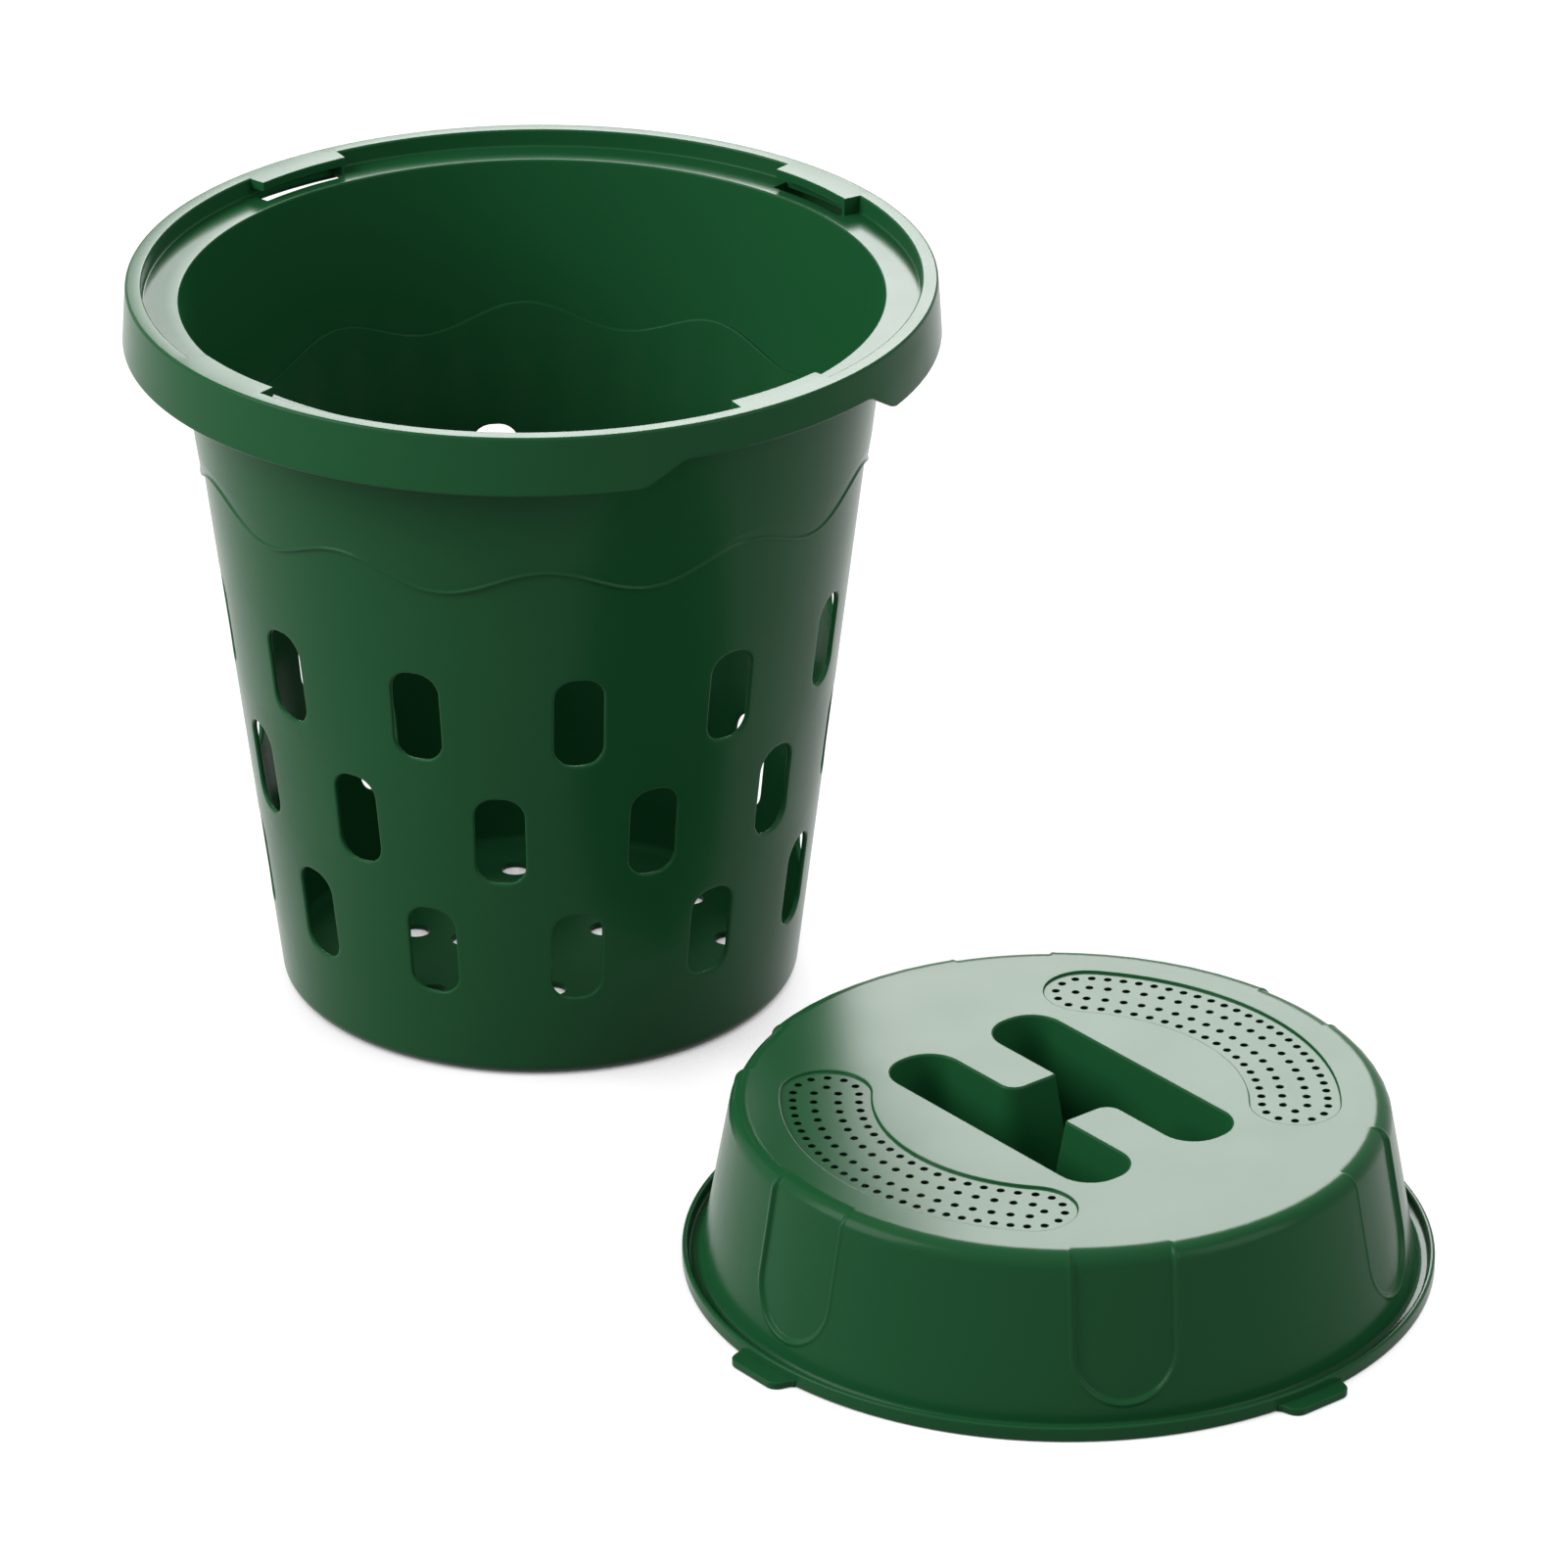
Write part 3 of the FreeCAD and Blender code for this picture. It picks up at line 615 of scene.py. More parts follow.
    def skirt_foot(self, turn: float) -> float:
        """Height of the skirt's lower edge at a turn, raised in the two hand grips."""
        low = self.height - self.rim_band
        x = abs(self.rim_radius * math.cos(math.radians(turn)))
        wide = self.grip_width / 2
        narrow = wide - self.grip_run
        slant = math.atan2(self.grip_rise, self.grip_run)
        foot, top = self.grip_foot_round, self.grip_round
        foot_end = wide + foot * math.tan(slant / 2)
        top_start = narrow - top * math.tan(slant / 2)
        if x >= foot_end:
            return low
        if x > foot_end - foot * math.sin(slant):
            return low + foot - math.sqrt(foot**2 - (x - foot_end) ** 2)
        if x <= top_start:
            return low + self.grip_rise
        if x < top_start + top * math.sin(slant):
            return low + self.grip_rise - top + math.sqrt(top**2 - (x - top_start) ** 2)
        return low + (wide - x) * math.tan(slant)

    def rim_section(self, part: RimPart) -> list[Flat]:
        """The rim's inner face from its top edge to the ledge, with as many points for every part.

        Args:
            part: what stands over the ledge there.

        Returns:
            Radius and height of each point.
        """
        top, ledge, rim, tab = self.height, self.ledge, self.rim_inner, self.tab_inner
        soft, blunt, under = self.edge_round, self.tab_edge, self.height - self.tab_thickness
        arris = arc((rim + soft, top - soft), soft, 90, 180, 3)
        cove = arc((rim - soft, ledge + soft), soft, 0, -90, 3)
        if part is RimPart.PLAIN:
            return arris + [(rim, z) for z in spaced(top - soft, ledge + soft, 7)[1:-1]] + cove
        nose = arris[:1] + arc((tab + blunt, top - blunt), blunt, 90, 180, 2)
        if part is RimPart.TAB:
            back = self.tab_back
            chin = arc((tab + blunt, under + blunt), blunt, 180, 270, 2)
            underside = [((tab + rim) / 2, under), (rim - back, under), (rim, under - back)]
            return nose + chin + underside + cove
        foot = self.stop_foot
        face = [(tab, z) for z in spaced(top - blunt, ledge + foot, 8)[1:]]
        return nose + face + [(tab - foot / 4, ledge + MID_ROUND * foot), (tab - foot, ledge)]

    def ring(self, radius: Round, height: Round, turns: Sequence[float] = ()) -> Ring:
        """A ring of the bucket, whose radius and height may change round it.

        Args:
            radius: the ring's radius, or a function of the turn.
            height: the ring's height, or a function of the turn.
            turns: the turns of its columns, evenly spread if none are given.

        Returns:
            The ring's points.
        """
        points = []
        for turn in turns or self.even:
            at = [value(turn) if callable(value) else value for value in (radius, height)]
            points.append(polar(at[0], turn, at[1]))
        return points

    def wave_rings(self, inside: bool) -> list[Ring]:
        """Rings from the slotted wall up over the wavy step, on the outer or the inner face.

        Args:
            inside: whether it is the inner face, whose line runs higher and whose step faces up.

        Returns:
            The rings, from the slots upwards.
        """
        less, lift = (self.wall, self.wave_rise) if inside else (0.0, 0.0)
        soft, step, low = self.wave_edge, self.joggle, self.slots_high
        if inside:
            steps = [(-2 * soft, 0), (-soft, 0), (-MID_ROUND * soft, MID_ROUND * soft), (0, soft),
                     (0, step), (soft, step)]
        else:
            steps = [(-soft, 0), (0, 0), *((rise, step + out) for rise, out in self.BEAD)]

        def ring(height: Callable[[float], float], out: float) -> Ring:
            """The ring at a height that changes round the wall, moved out from the wall's face."""
            return self.ring(lambda turn: self.outside(height(turn)) - less + out, height)

        rings = [ring(lambda turn: low, 0), ring(lambda turn: (low + self.wave(turn)) / 2, 0)]
        rings += [ring(lambda turn: self.wave(turn) + lift + rise, out) for rise, out in steps]
        start = self.wave_height + 2 * self.wave_amplitude + lift
        return rings + [self.ring(self.outside(height) - less + step, height)
                        for height in spaced(start, self.ledge_under - self.ledge_clear, 2)]

    def skirt_rings(self) -> list[Ring]:
        """Rings from under the ledge, down the skirt's inside and up its outside to the rim top."""
        top, soft, wall, under = self.height, self.edge_round, self.rim_wall, self.ledge_under
        level, crown = top - self.skirt_level, self.rim_round

        def skirt(height: float) -> float:
            """Outer radius of the skirt."""
            return self.rim_radius + self.skirt_flare * (top - height) / self.rim_band

        def foot(rise: float, less: float) -> tuple[Round, Round, Sequence[float]]:
            """The row at a rise over the skirt's foot, drawn in from its outer face."""
            return (lambda turn: skirt(self.skirt_foot(turn) + rise) - less,
                    lambda turn: self.skirt_foot(turn) + rise, self.by_grips)

        start, back = self.outside(under) + self.joggle, self.rim_inner + wall
        rows = [(start, under - soft), (start + MID_ROUND * soft, under - MID_ROUND * soft),
                (start + soft, under), (self.window_inner, under, self.by_tabs),
                (self.window_outer, under, self.by_tabs), (back, under), (back, top - wall),
                (self.rim_radius - wall, top - wall), (skirt(level) - wall, level),
                foot(1.5 * soft, wall), foot(0.5 * soft, wall), foot(0, wall - self.skirt_edge),
                *(foot(rise, less) for less, rise in edge_steps(soft, 3)),
                foot(2 * soft, 0), (skirt(level), level),
                *arc((self.rim_radius - crown, top - crown), crown, 0, 90, 4)]
        return [self.ring(*row) for row in rows]

    def bayonet_rings(self) -> list[Ring]:
        """Rings down the rim's inner face with its tabs and stops, and across the ledge."""
        rings, soft = [], self.edge_round
        for points in zip(*map(self.rim_section, RimPart)):
            at = dict(zip(RimPart, points))
            rings.append([polar(at[part][0], turn, at[part][1]) for turn, part in self.stands])
        rows = [(self.window_inner, self.ledge, self.by_tabs),
                *arc((self.mouth_radius + soft, self.ledge - soft), soft, 90, 180, 3)]
        return rings + [self.ring(*row) for row in rows]

    def open_windows(self, piece: Piece) -> None:
        """Cuts the window under each tab through the ledge and walls its sides."""
        levels, slack = (self.ledge, self.ledge_under), self.WINDOW_SLACK
        inner, outer = self.window_inner - slack, self.window_outer + slack
        for number in range(self.tabs):
            to_front = Matrix.Rotation(-2 * math.pi * number / self.tabs, 3, "Z")

            def within(at: Vector) -> bool:
                """Whether a point of the ledge's faces belongs to this window."""
                there = to_front @ at
                turn = math.degrees(math.atan2(there.y, there.x))
                return (min(abs(at.z - level) for level in levels) < LEVEL
                        and inner < at.to_2d().length < outer
                        and self.stop_end < turn < self.tab_end)

            bpy.ops.object.mode_set(mode="EDIT")
            bpy.ops.mesh.select_mode(type="FACE")
            bpy.ops.mesh.select_all(action="DESELECT")
            mesh = bmesh.from_edit_mesh(piece.data)
            for face in mesh.faces:
                face.select_set(all(within(vert.co / MM) for vert in face.verts))
            bmesh.update_edit_mesh(piece.data)
            bpy.ops.mesh.delete(type="FACE")
            select_rim(piece, within)
            bpy.ops.mesh.bridge_edge_loops()
            bpy.ops.object.mode_set(mode="OBJECT")

    def upper_wall(self) -> Piece:
        """The wall above the slots, over the rim and back down to the slots inside."""
        outer, inner = self.wave_rings(inside=False), self.wave_rings(inside=True)
        piece = grown("upper_wall", [*outer, *self.skirt_rings(), *self.bayonet_rings(),
                                     *reversed(inner)])
        self.open_windows(piece)
        return piece

    def foot(self, less: float, level: float, fillet: float) -> Piece:
        """The wall below the slots and its round into the floor, on one face.

        Args:
            less: how far the face lies inside the wall's outer face.
            level: height of the floor's face there.
            fillet: radius of the round.

        Returns:
            The skin, open towards the middle.
        """
        lean = math.atan(self.slope)
        centre = self.outside(level + fillet) - less - fillet / math.cos(lean)
        section = [(self.outside(height) - less, height)
                   for height in (self.slots_low, (self.slots_low + fillet) / 2)]
        section += arc((centre, level + fillet), fillet, -math.degrees(lean), -90, 6)
        section.append((centre - self.edge_round, level))
        return grown("foot", [self.ring(*point) for point in section])

    def drains(self) -> list[Piece]:
        """The drainage holes in the floor, in rings."""
        soft, floor = self.drain_edge, self.floor
        steps = [(2 * soft, 0), (soft, 0), (0, soft), (0, floor - soft), (soft, floor),
                 (2 * soft, floor)]
        hole = grown("drain", [circle(self.drain_radius + grow, height, self.DRAIN_SIDES)
                               for grow, height in steps])
        return moved_copies(hole, [place for reach, count in self.DRAINS
                                   for place in circle(reach, 0, count)])

    def build(self) -> Piece:
        """Builds the whole bucket as one mesh."""
        outer_foot = self.foot(0, 0, self.base_fillet)
        inner_foot = self.foot(self.wall, self.floor, self.base_fillet - self.wall)
        parts = [self.upper_wall(), outer_foot, inner_foot, *self.slotted_wall(), *self.drains()]
        piece = joined("composter_bucket", parts)
        fill_flat(piece, 0)
        fill_flat(piece, self.floor)
        smoothed(piece, self.CREASE)
        return piece

    def dress(self, piece: Piece, finish: MouldedPlastic) -> None:
        """Gives the bucket its finish, matt on the floor inside, and hands it to the frame."""
        piece.data.materials.clear()
        for kind in (finish, MATT_PLASTIC):
            piece.data.materials.append(kind.material())
        inner = self.base_radius - self.wall / 2
        for face in piece.data.polygons:
            at = face.center / MM
            low = at.z < 2 * self.floor and at.to_2d().length < inner
            face.material_index = int(low and face.normal.z > self.FLOOR_FACING)
        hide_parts("bucket")
        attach(piece, "bucket")


class Face(Enum):
    """A face of the lid's shell."""

    OUTER = "outer"
    INNER = "inner"


@dataclass
class Lid:
    """The lid: panelled wall, channelled flange with lugs, sunken H handle and two vents."""

    place_y: float = -333.0
    height: float = 70.0
    foot_radius: float = 141.7
    lean: float = 0.18
    wall: float = 2.2
    edge_round: float = 7.0
    flange_radius: float = 148.5
    flange_thickness: float = 2.4
    foot_round: float = 2.6
    lip_height: float = 6.2
    lip_width: float = 2.4
    lip_round: float = 1.0
    lug_radius: float = 156.3
    lug_half: float = 15.0
    lug_thickness: float = 3.0
    lug_round: float = 5.0
    lug_taper: float = 1.5
    lug_flare: float = 2.0
    lug_neck: float = 0.4
    lug_neck_round: float = 2.5
    lug_root: float = 1.0
    lug_root_round: float = 0.3
    lug_edge: float = 0.5
    lugs: int = 4
    panels: int = 6
    panel_half: float = 19.75
    panel_foot: float = 11.5
    panel_depth: float = 1.3
    panel_edge: float = 0.8
    panel_bead: float = 0.35
    bead_run: float = 1.6
    panel_back_grow: float = 1.5
    tile_foot: float = 8.0
    handle_length: float = 126.0
    handle_slot: float = 29.5
    handle_land: float = 23.7
    handle_cross: float = 31.0
    handle_depth: float = 42.0
    handle_draft: float = 9.0
    handle_round: float = 13.5
    handle_edge: float = 1.0
    handle_fillet: float = 2.5
    land_round: float = 7.0
    land_point: float = 2.0
    vent_radius: float = 91.9
    vent_reach: float = 42.3
    vent_half: float = 17.8
    vent_depth: float = 0.9
    vent_fillet: float = 0.2
    hole_radius: float = 1.55
    hole_edge: float = 0.12
    hole_flare: float = 0.9

    # Offset from the vent's middle line and number of holes of each curved row
    VENT_ROWS = ((12.9, 25), (4.7, 20), (-4.8, 18), (-13.0, 18))
    # Reach from the middle of the vent's round end, and angles, of the holes fanned round it
    VENT_FANS = ((13.0, (30.0, 60.0, 90.0, 120.0, 150.0)), (5.0, (90.0,)))
    HOLE_SIDES = 14
    COLUMNS = 144
    ARC_STEPS = 36
    TILE_TOP = 2.8
    TILE_CORNER = 30.0
    PANEL_SHARES = (0, 0.25, 0.5, 0.75, 0.92)
    BORDER_SHARES = (0.06, 0.2, 0.45, 0.72, 1)
    CREASE = 38.0

    def __post_init__(self) -> None:
        """Works out the places that several features share."""
        self.ceiling = self.height - self.wall
        self.recess = self.height - self.vent_depth
        self.panel_middle = self.panel_foot + self.panel_half

    def wall_radius(self, height: float) -> float:
        """Outer radius of the lid's wall."""
        return self.foot_radius - self.lean * height

    def profile(self, along: float, face: Face) -> Flat:
        """A point of the wall's profile.

        Args:
            along: 0 at the ground, 1 and 2 at the ends of the top round, then millimetres inward.
            face: which face of the shell.

        Returns:
            Radius and height.
        """
        less = self.wall if face is Face.INNER else 0.0
        fillet = self.edge_round - less
        tilt = math.atan(self.lean)
        centre_height = self.height - self.edge_round
        if along <= 1:
            height = along * (centre_height + fillet * math.sin(tilt))
            return self.wall_radius(height) - less, height
        centre = self.wall_radius(centre_height) - less - fillet / math.cos(tilt)
        angle = blend(tilt, math.pi / 2, min(along, 2) - 1)
        radius = centre + fillet * math.cos(angle) - max(0.0, along - 2)
        return radius, centre_height + fillet * math.sin(angle)

    def along(self, height: float, face: Face) -> float:
        """Where a height of the straight wall lies on the profile."""
        return height / self.profile(1, face)[1]

    def panel_tile(self, face: Face) -> Piece:
        """One sixth of the wall round an arched panel: lines from the panel's middle outwards.

        Args:
            face: which face of the shell.

        Returns:
            The tile, centred on turn 0.
        """
        half = self.panel_half + (self.panel_back_grow if face is Face.INNER else 0.0)
        bead = self.panel_bead if face is Face.OUTER else 0.0
        middle, border, corner = self.panel_middle, 180.0 / self.panels, self.TILE_CORNER
        rises = [self.TILE_TOP, *spaced(2, 1, 6), *spaced(1, self.along(middle, face), 6)[1:-1]]
        columns = [(-1, rise) for rise in rises]
        columns += [(0, angle) for angle in spaced(180.0, 360.0, self.ARC_STEPS)]
        columns += [(1, rise) for rise in reversed(rises)]

        def on_line(side: int, value: float, reach: float) -> Flat:
            """Sideways distance and place along the profile, at a reach from the panel's middle."""
            if side:
                return side * reach, value
            angle = math.radians(value)
            return reach * math.cos(angle), self.along(middle + reach * math.sin(angle), face)

        def on_border(side: int, value: float) -> Flat:
            """Turn and place along the profile where a column meets the tile's border."""
            if side:
                return side * border, value
            turn = max(-1.0, min(1.0, (value - 270.0) / (90.0 - corner))) * border
            drop = min(1.0, (value - 180.0) / corner, (360.0 - value) / corner)
            return turn, self.along(blend(middle, self.tile_foot, drop), face)

        def ring(reach: float, depth: float, share: float = 0.0) -> Ring:
            """The line at a reach from the panel's middle, drawn a share towards the border."""
            points = []
            for side, value in columns:
                x, along = on_line(side, value, reach)
                turn = math.degrees(math.asin(x / self.profile(along, face)[0]))
                edge_turn, edge_along = on_border(side, value)
                radius, height = self.profile(blend(along, edge_along, share), face)
                points.append(polar(radius - depth, blend(turn, edge_turn, share), height))
            return points

        soft, depth, run = self.panel_edge, self.panel_depth, self.bead_run
        rings = [ring(half * share, depth) for share in self.PANEL_SHARES]
        for step in spaced(-1, 1, 6):
            risen = (1 + math.sin(step * math.pi / 2)) / 2
            rings.append(ring(half + soft * step, blend(depth, -bead, risen)))
        for step in spaced(0, 1, 4)[1:]:
            left = (1 + math.cos(step * math.pi)) / 2
            rings.append(ring(half + soft + run * step, -bead * left))
        rings += [ring(half + soft + run, 0, share) for share in self.BORDER_SHARES]
        return grown("panel_tile", rings, closed=False)

    def flange(self) -> Piece:
        """The foot of the wall: channel, lip and underside, and up to the wall's inner face."""
        floor, lip, fillet = self.flange_thickness, self.lip_round, self.foot_round
        tilt = math.atan(self.lean)
        foot_centre = self.wall_radius(floor + fillet) + fillet / math.cos(tilt)
        lip_inner, rim = self.flange_radius - self.lip_width, self.flange_radius - lip
        crest = self.lip_height - lip
        wall, inner = self.wall_radius(self.tile_foot), self.wall_radius(0) - self.wall
        section = [
            (wall, self.tile_foot),
            *arc((foot_centre, floor + fillet), fillet, 180 + math.degrees(tilt), 270, 5),
            *arc((lip_inner - lip, floor + lip), lip, -90, 0, 3),
            *arc((lip_inner + lip, crest), lip, 180, 90, 4),
            *arc((rim, crest), lip, 90, 0, 4),
            *arc((rim, lip), lip, 0, -90, 3),
            *arc((inner + lip, lip), lip, -90, -180, 3),
            (wall - self.wall, self.tile_foot),
        ]
        return grown("flange", [circle(*point, self.COLUMNS) for point in section])

    def handle_outline(self, inset: float) -> list[Flat]:
        """The H of the handle, point-symmetric, with as many points for every inset.

        Args:
            inset: how far the outline is drawn inwards, less than 0 for outwards.

        Returns:
            The outline's points.
        """
        inner = self.handle_land / 2 + inset
        outer = self.handle_land / 2 + self.handle_slot - inset
        end, cross = self.handle_length / 2 - inset, self.handle_cross / 2 - inset
        wide, tight, round_end = (self.land_round + inset, self.land_point + inset,
                                  self.handle_round - inset)
        half = [(outer, -end, round_end), (outer, end, round_end), (inner, end, round_end),
                (inner, cross, tight), (-inner, cross, wide), (-inner, end, round_end)]
        return rounded(half + [(-x, -y, radius) for x, y, radius in half], steps=8)

    def handle(self, grow: float) -> Piece:
        """The handle's pocket, or with a wall's growth the boss that it makes under the lid.

        Args:
            grow: 0 for the pocket, the wall's thickness for the boss.

        Returns:
            The skin, open at its mouth and its floor.
        """
        soft, fillet = self.handle_edge, self.handle_fillet - grow / 2
        draft = math.tan(math.radians(self.handle_draft))
        top, floor = self.height - grow, self.height - self.handle_depth - grow
        deep = draft * self.handle_depth
        steps = [(-MARGIN * soft, top)]
        steps += [(-out, top - depth) for out, depth in edge_steps(soft, 4)]
        steps += [(deep - draft * fillet + depth, floor + out)
                  for out, depth in edge_steps(fillet, 4)]
        steps += [(deep + MARGIN * fillet, floor)]
        return grown("handle", [at_height(self.handle_outline(inset - grow), height)
                                for inset, height in steps])

    def vent_outline(self, grow: float) -> list[Flat]:
        """The kidney of a vent on the +X side.

        Args:
            grow: margin by which it is grown.

        Returns:
            The outline's points.
        """
        radius, reach, half = self.vent_radius, self.vent_reach, self.vent_half + grow
        first, last = (arc(polar(radius, turn, 0)[:2], half, start, start + 180, 16)[1:-1]
                       for turn, start in ((reach, reach), (-reach, 180.0 - reach)))
        outer = arc((0, 0), radius + half, -reach, reach, 48)
        inner = arc((0, 0), radius - half, reach, -reach, 36)
        return outer + first + inner + last

    def vent_recess(self) -> Piece:
        """The shallow recess of one vent, open at its mouth and its floor."""
        edge, fillet = self.vent_depth / 2, self.vent_fillet
        steps = [(MARGIN * edge, self.height)]
        steps += [(out, self.height - depth) for out, depth in edge_steps(edge, 3)]
        steps += [(0, self.recess + fillet), (-fillet, self.recess), (-3 * fillet, self.recess)]
        return grown("vent", [at_height(self.vent_outline(grow), height)
                              for grow, height in steps])

    def vent_places(self) -> list[Flat]:
        """Middles of the holes of one vent: curved rows, and a fan of holes round each end."""
        radius, reach = self.vent_radius, self.vent_reach
        places = []
        for offset, count in self.VENT_ROWS:
            places += arc((0, 0), radius + offset, -reach, reach, count - 1)
        for side in (1, -1):
            x, y, _ = polar(radius, side * reach, 0)
            for spread, angles in self.VENT_FANS:
                for angle in angles:
                    dx, dy, _ = polar(spread, side * (reach + angle), 0)
                    places.append((x + dx, y + dy))
        return places

    def vents(self) -> list[Piece]:
        """Both vents with their holes, which widen downwards."""
        soft, radius = self.hole_edge, self.hole_radius
        steps = [(radius + soft, self.recess), (radius, self.recess - soft),
                 (radius + self.hole_flare, self.ceiling)]
        hole = grown("hole", [circle(*step, self.HOLE_SIDES) for step in steps])
        holes = moved_copies(hole, at_height(self.vent_places(), 0))
        return turned_copies(joined("vent_side", [self.vent_recess(), *holes]), 2)

    def lug(self) -> Piece:
        """One bayonet lug: a flat tongue with round corners that flares where it leaves the lip."""
        half, flare, soft = self.lug_half, self.lug_flare, self.lug_edge
        corners = [(self.flange_radius - self.lug_root, -half - flare, self.lug_root_round),
                   (self.flange_radius + self.lug_neck, -half - flare / 4, self.lug_neck_round),
                   (self.lug_radius, -half + self.lug_taper, self.lug_round)]
        corners += [(x, -y, radius) for x, y, radius in reversed(corners)]

        def ring(inset: float, height: float) -> Ring:
            """The lug's outline drawn in by an inset, at a height."""
            drawn = [(x - inset, y - math.copysign(inset, y), radius) for x, y, radius in corners]
            return at_height(rounded(drawn, steps=6), height)

        steps = [(2 * soft, 0.0), *edge_steps(soft, 3)]
        steps += [(inset, self.lug_thickness - rise) for inset, rise in reversed(steps)]
        piece = grown("lug", [ring(inset, height) for inset, height in steps])
        fill_flat(piece, 0)
        fill_flat(piece, self.lug_thickness)
        return piece

    def build(self) -> Piece:
        """Builds the whole lid as one mesh, in its place beside the bucket."""
        lugs = turned_copies(self.lug(), self.lugs)
        outer = turned_copies(self.panel_tile(Face.OUTER), self.panels)
        inner = turned_copies(self.panel_tile(Face.INNER), self.panels)
        pocket, boss = self.handle(0), self.handle(self.wall)
        piece = joined("composter_lid",
                       [*outer, *inner, self.flange(), *self.vents(), pocket, boss])
        floor = self.height - self.handle_depth
        for level, side in ((self.height, 0), (self.recess, 1), (self.recess, -1),
                            (self.ceiling, 0), (floor, 0), (floor - self.wall, 0)):
            fill_flat(piece, level, side)
        piece = joined("composter_lid", [piece, *lugs])
        piece.data.transform(Matrix.Translation((0, self.place_y * MM, 0)))
        smoothed(piece, self.CREASE)
        return piece

    def dress(self, piece: Piece, finish: MouldedPlastic) -> None:
        """Gives the lid its finish and hands it to the frame."""
        piece.data.materials.clear()
        piece.data.materials.append(finish.material())
        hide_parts("lid")
        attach(piece, "lid")


@dataclass(frozen=True)
class Softbox:
    """A square soft light that faces a point."""

    name: str
    place: Point
    aim: Point
    size: float
    power: float

    def build(self) -> None:
        """Adds the light to the scene."""
        place = Vector(self.place)
        bpy.ops.object.light_add(type="AREA", location=place * MM)
        lamp = bpy.context.object
        lamp.name = self.name
        lamp.data.shape = "SQUARE"
        lamp.data.size = self.size * MM
        lamp.data.energy = self.power
        lamp.rotation_euler = (Vector(self.aim) - place).to_track_quat("-Z", "Y").to_euler()


def seen_white(tree: Tree) -> Socket:
    """Adds what picks out the rays that see the white background, in gloss and through holes too.

    Args:
        tree: the node tree that it goes into.

    Returns:
        A value of 1 for those rays and 0 for all others.
    """
    path = tree.nodes.new("ShaderNodeLightPath").outputs
    direct = worked_out(tree, "MAXIMUM", path["Is Camera Ray"], path["Is Transmission Ray"])
    return worked_out(tree, "MAXIMUM", direct, path["Is Glossy Ray"])


@dataclass(frozen=True)
class Floor:
    """A plain pale floor that glows where it is open to the room, so it is white; the glow fades by
    ambient occlusion, a painted shade under the bucket and lid, and its matt part keeps real
    shadows.
    """

    size: float = 12000.0
    gap: float = 0.2
    colour: float = 0.25
    glow: float = 0.9
    glow_reach: float = 400.0
    glow_open: float = 2.0
    shade_samples: int = 4

    def material(self) -> bpy.types.Material:
        """Builds the floor's material: matt, with a glow that fades under the bucket and lid, a
        painted shade from ambient occlusion.
        """
        material = bpy.data.materials.new("studio_floor")
        material.use_nodes = True
        tree = material.node_tree
        nodes = tree.nodes
        nodes.clear()
        # Ambient occlusion dims the glow: painted shade under the bucket and lid, also seen through
        # their drains and vent holes.
        shade = nodes.new("ShaderNodeAmbientOcclusion")
        shade.samples = self.shade_samples
        fed(tree, shade, {"Distance": self.glow_reach * MM})
        open_share = worked_out(tree, "MULTIPLY", shade.outputs["AO"], self.glow_open)
        strength = worked_out(tree, "MULTIPLY", worked_out(tree, "MINIMUM", open_share, 1.0), self.glow)
        strength = worked_out(tree, "MULTIPLY", strength, seen_white(tree))
        glow = fed(tree, nodes.new("ShaderNodeEmission"), {"Strength": strength})
        matt = fed(tree, nodes.new("ShaderNodeBsdfDiffuse"),
                   {"Color": (self.colour, self.colour, self.colour, 1)})
        both = fed(tree, nodes.new("ShaderNodeAddShader"),
                   {0: matt.outputs["BSDF"], 1: glow.outputs["Emission"]})
        fed(tree, nodes.new("ShaderNodeOutputMaterial"), {"Surface": both.outputs["Shader"]})
        return material

    def build(self) -> None:
        """Lays the floor a hair under the object."""
        bpy.ops.mesh.primitive_plane_add(size=self.size * MM, location=(0, 0, -self.gap * MM))
        floor = bpy.context.object
        floor.name = "studio_floor"
        floor.data.materials.append(self.material())


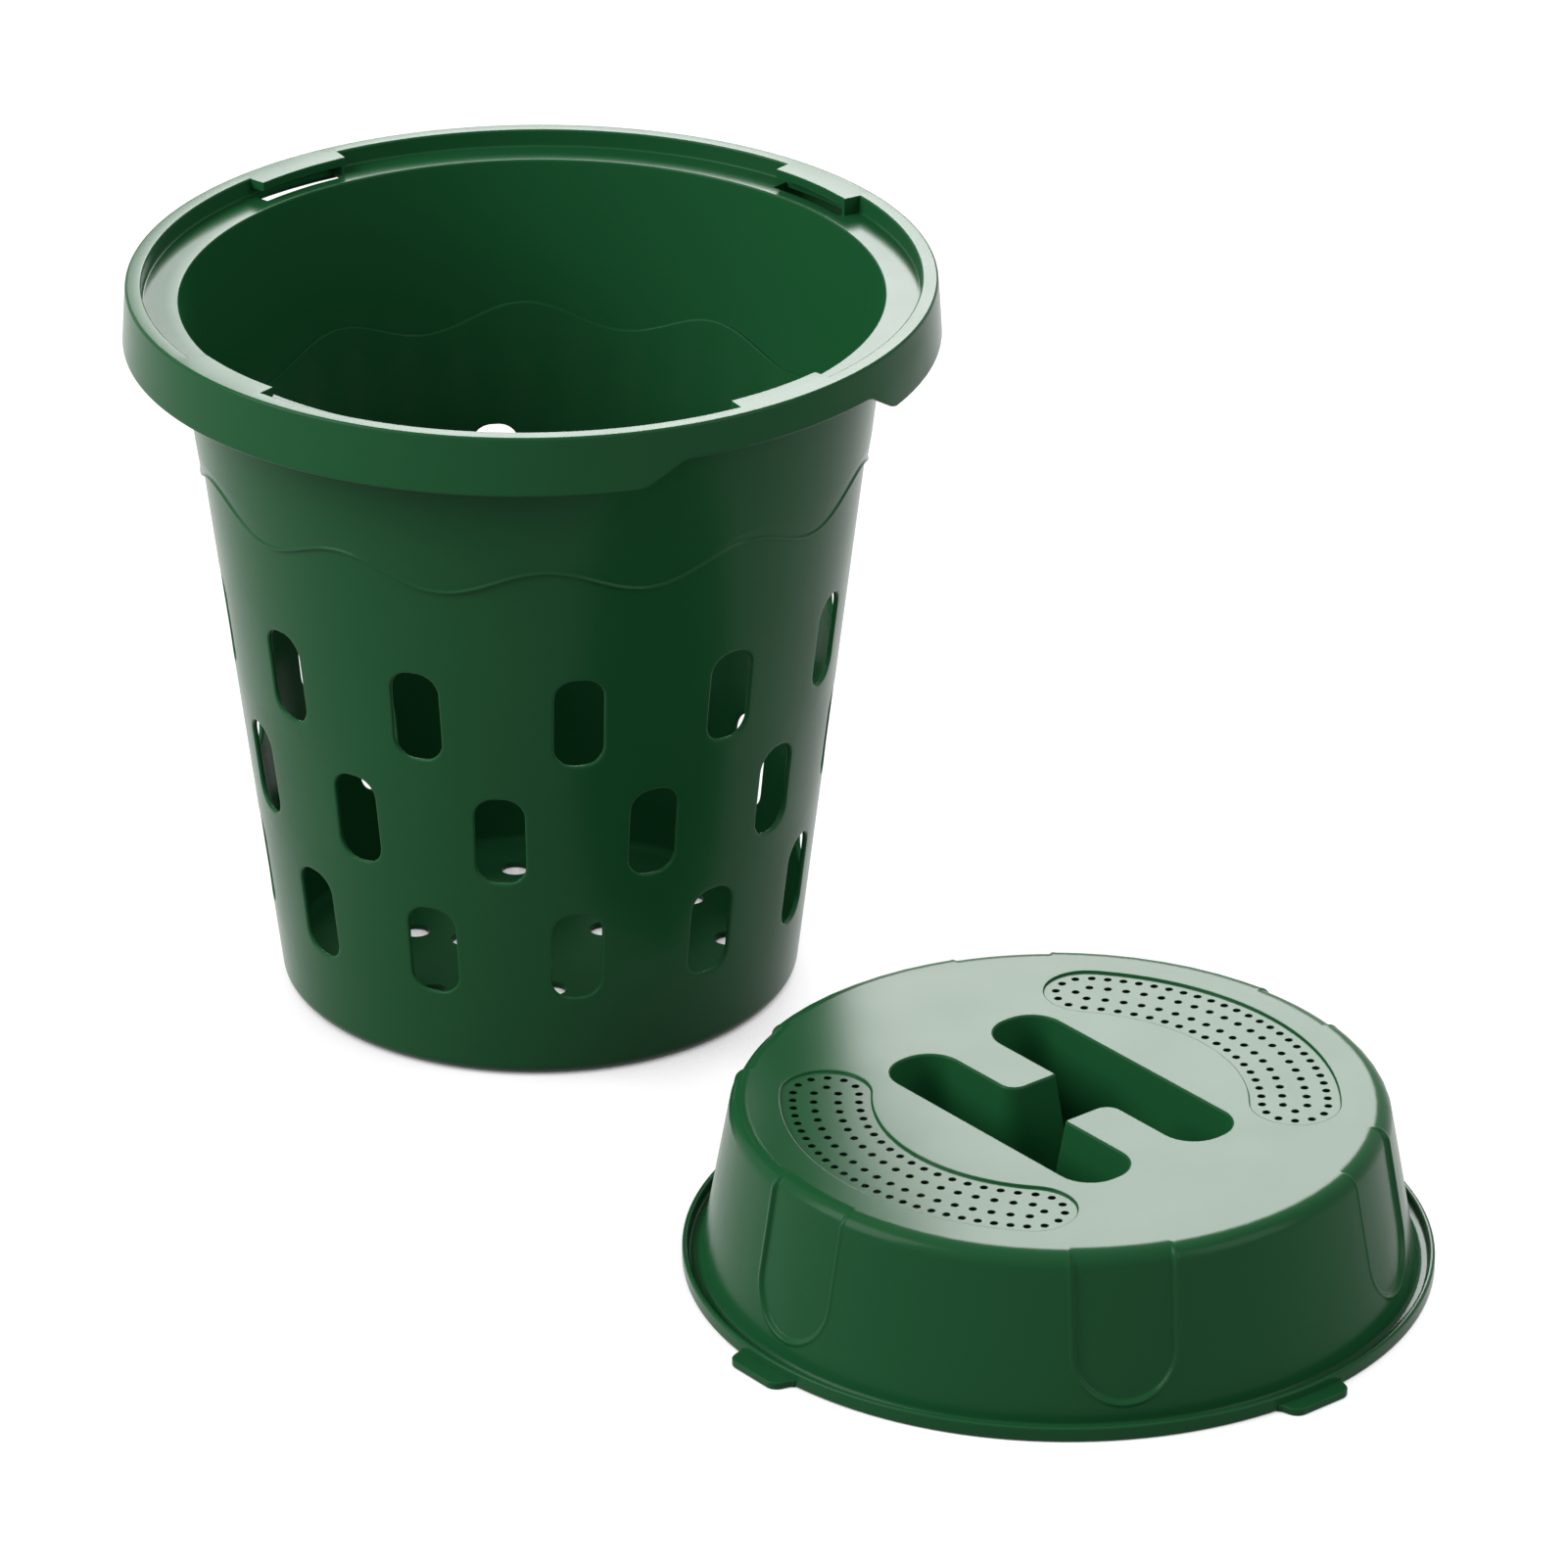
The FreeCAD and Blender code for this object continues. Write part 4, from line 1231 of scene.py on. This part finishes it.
@dataclass(frozen=True)
class Studio:
    """A plain white studio: floor, surround, soft lights and the camera of the photograph."""

    camera_place: Point = (-2070.7, -2700.7, 1733.8)
    camera_turn: float = 39.2
    camera_pitch: float = 25.915
    camera_reach: float = 50000.0
    focal_pixels: float = 9268.3
    image_pixels: float = 1601.0
    sensor: float = 36.0
    surround: float = 0.3
    floor: Floor = Floor()
    lights: tuple[Softbox, ...] = (
        Softbox("key_softbox", (-1860.0, 648.0, 1540.0), (0.0, -100.0, 120.0), 1600.0, 57.0),
        Softbox("top_softbox", (0.0, -150.0, 2500.0), (0.0, -150.0, 0.0), 2600.0, 6.0),
        Softbox("rear_softbox", (2360.0, 2387.0, 2290.0), (0.0, -200.0, 200.0), 1500.0, 116.0),
        Softbox("fill_softbox", (805.0, -2117.0, 1057.0), (0.0, -150.0, 120.0), 1200.0, 13.0),
    )

    def build_surround(self) -> None:
        """Sets an even surround: white to the camera and in gloss, a soft fill to the object."""
        world = bpy.data.worlds.new("studio_surround")
        world.use_nodes = True
        tree = world.node_tree
        strength = worked_out(tree, "MAXIMUM", seen_white(tree), self.surround)
        fed(tree, tree.nodes["Background"], {"Color": (1, 1, 1, 1), "Strength": strength})
        bpy.context.scene.world = world

    def build_camera(self) -> None:
        """Sets the camera where the photograph was taken."""
        bpy.ops.object.camera_add(location=Vector(self.camera_place) * MM)
        camera = bpy.context.object
        camera.data.sensor_width = self.sensor
        camera.data.lens = self.focal_pixels / self.image_pixels * self.sensor
        camera.data.clip_end = self.camera_reach * MM
        camera.rotation_euler = (math.radians(90 - self.camera_pitch), 0,
                                 math.radians(-self.camera_turn))
        bpy.context.scene.camera = camera

    def build(self) -> None:
        """Builds the surround, the floor, the lights and the camera."""
        self.build_surround()
        for fitting in (self.floor, *self.lights):
            fitting.build()
        self.build_camera()
        bpy.context.scene.view_settings.view_transform = "Standard"


def main() -> None:
    """Builds the composter in the frame, dresses it and sets the studio."""
    logging.basicConfig(level=logging.INFO, format="%(message)s")
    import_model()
    for part in (Bucket(), Lid()):
        piece = part.build()
        part.dress(piece, GLOSS_PLASTIC)
        log.info("%s: %d faces", piece.name, len(piece.data.polygons))
    Studio().build()


if __name__ == "__main__":
    main()
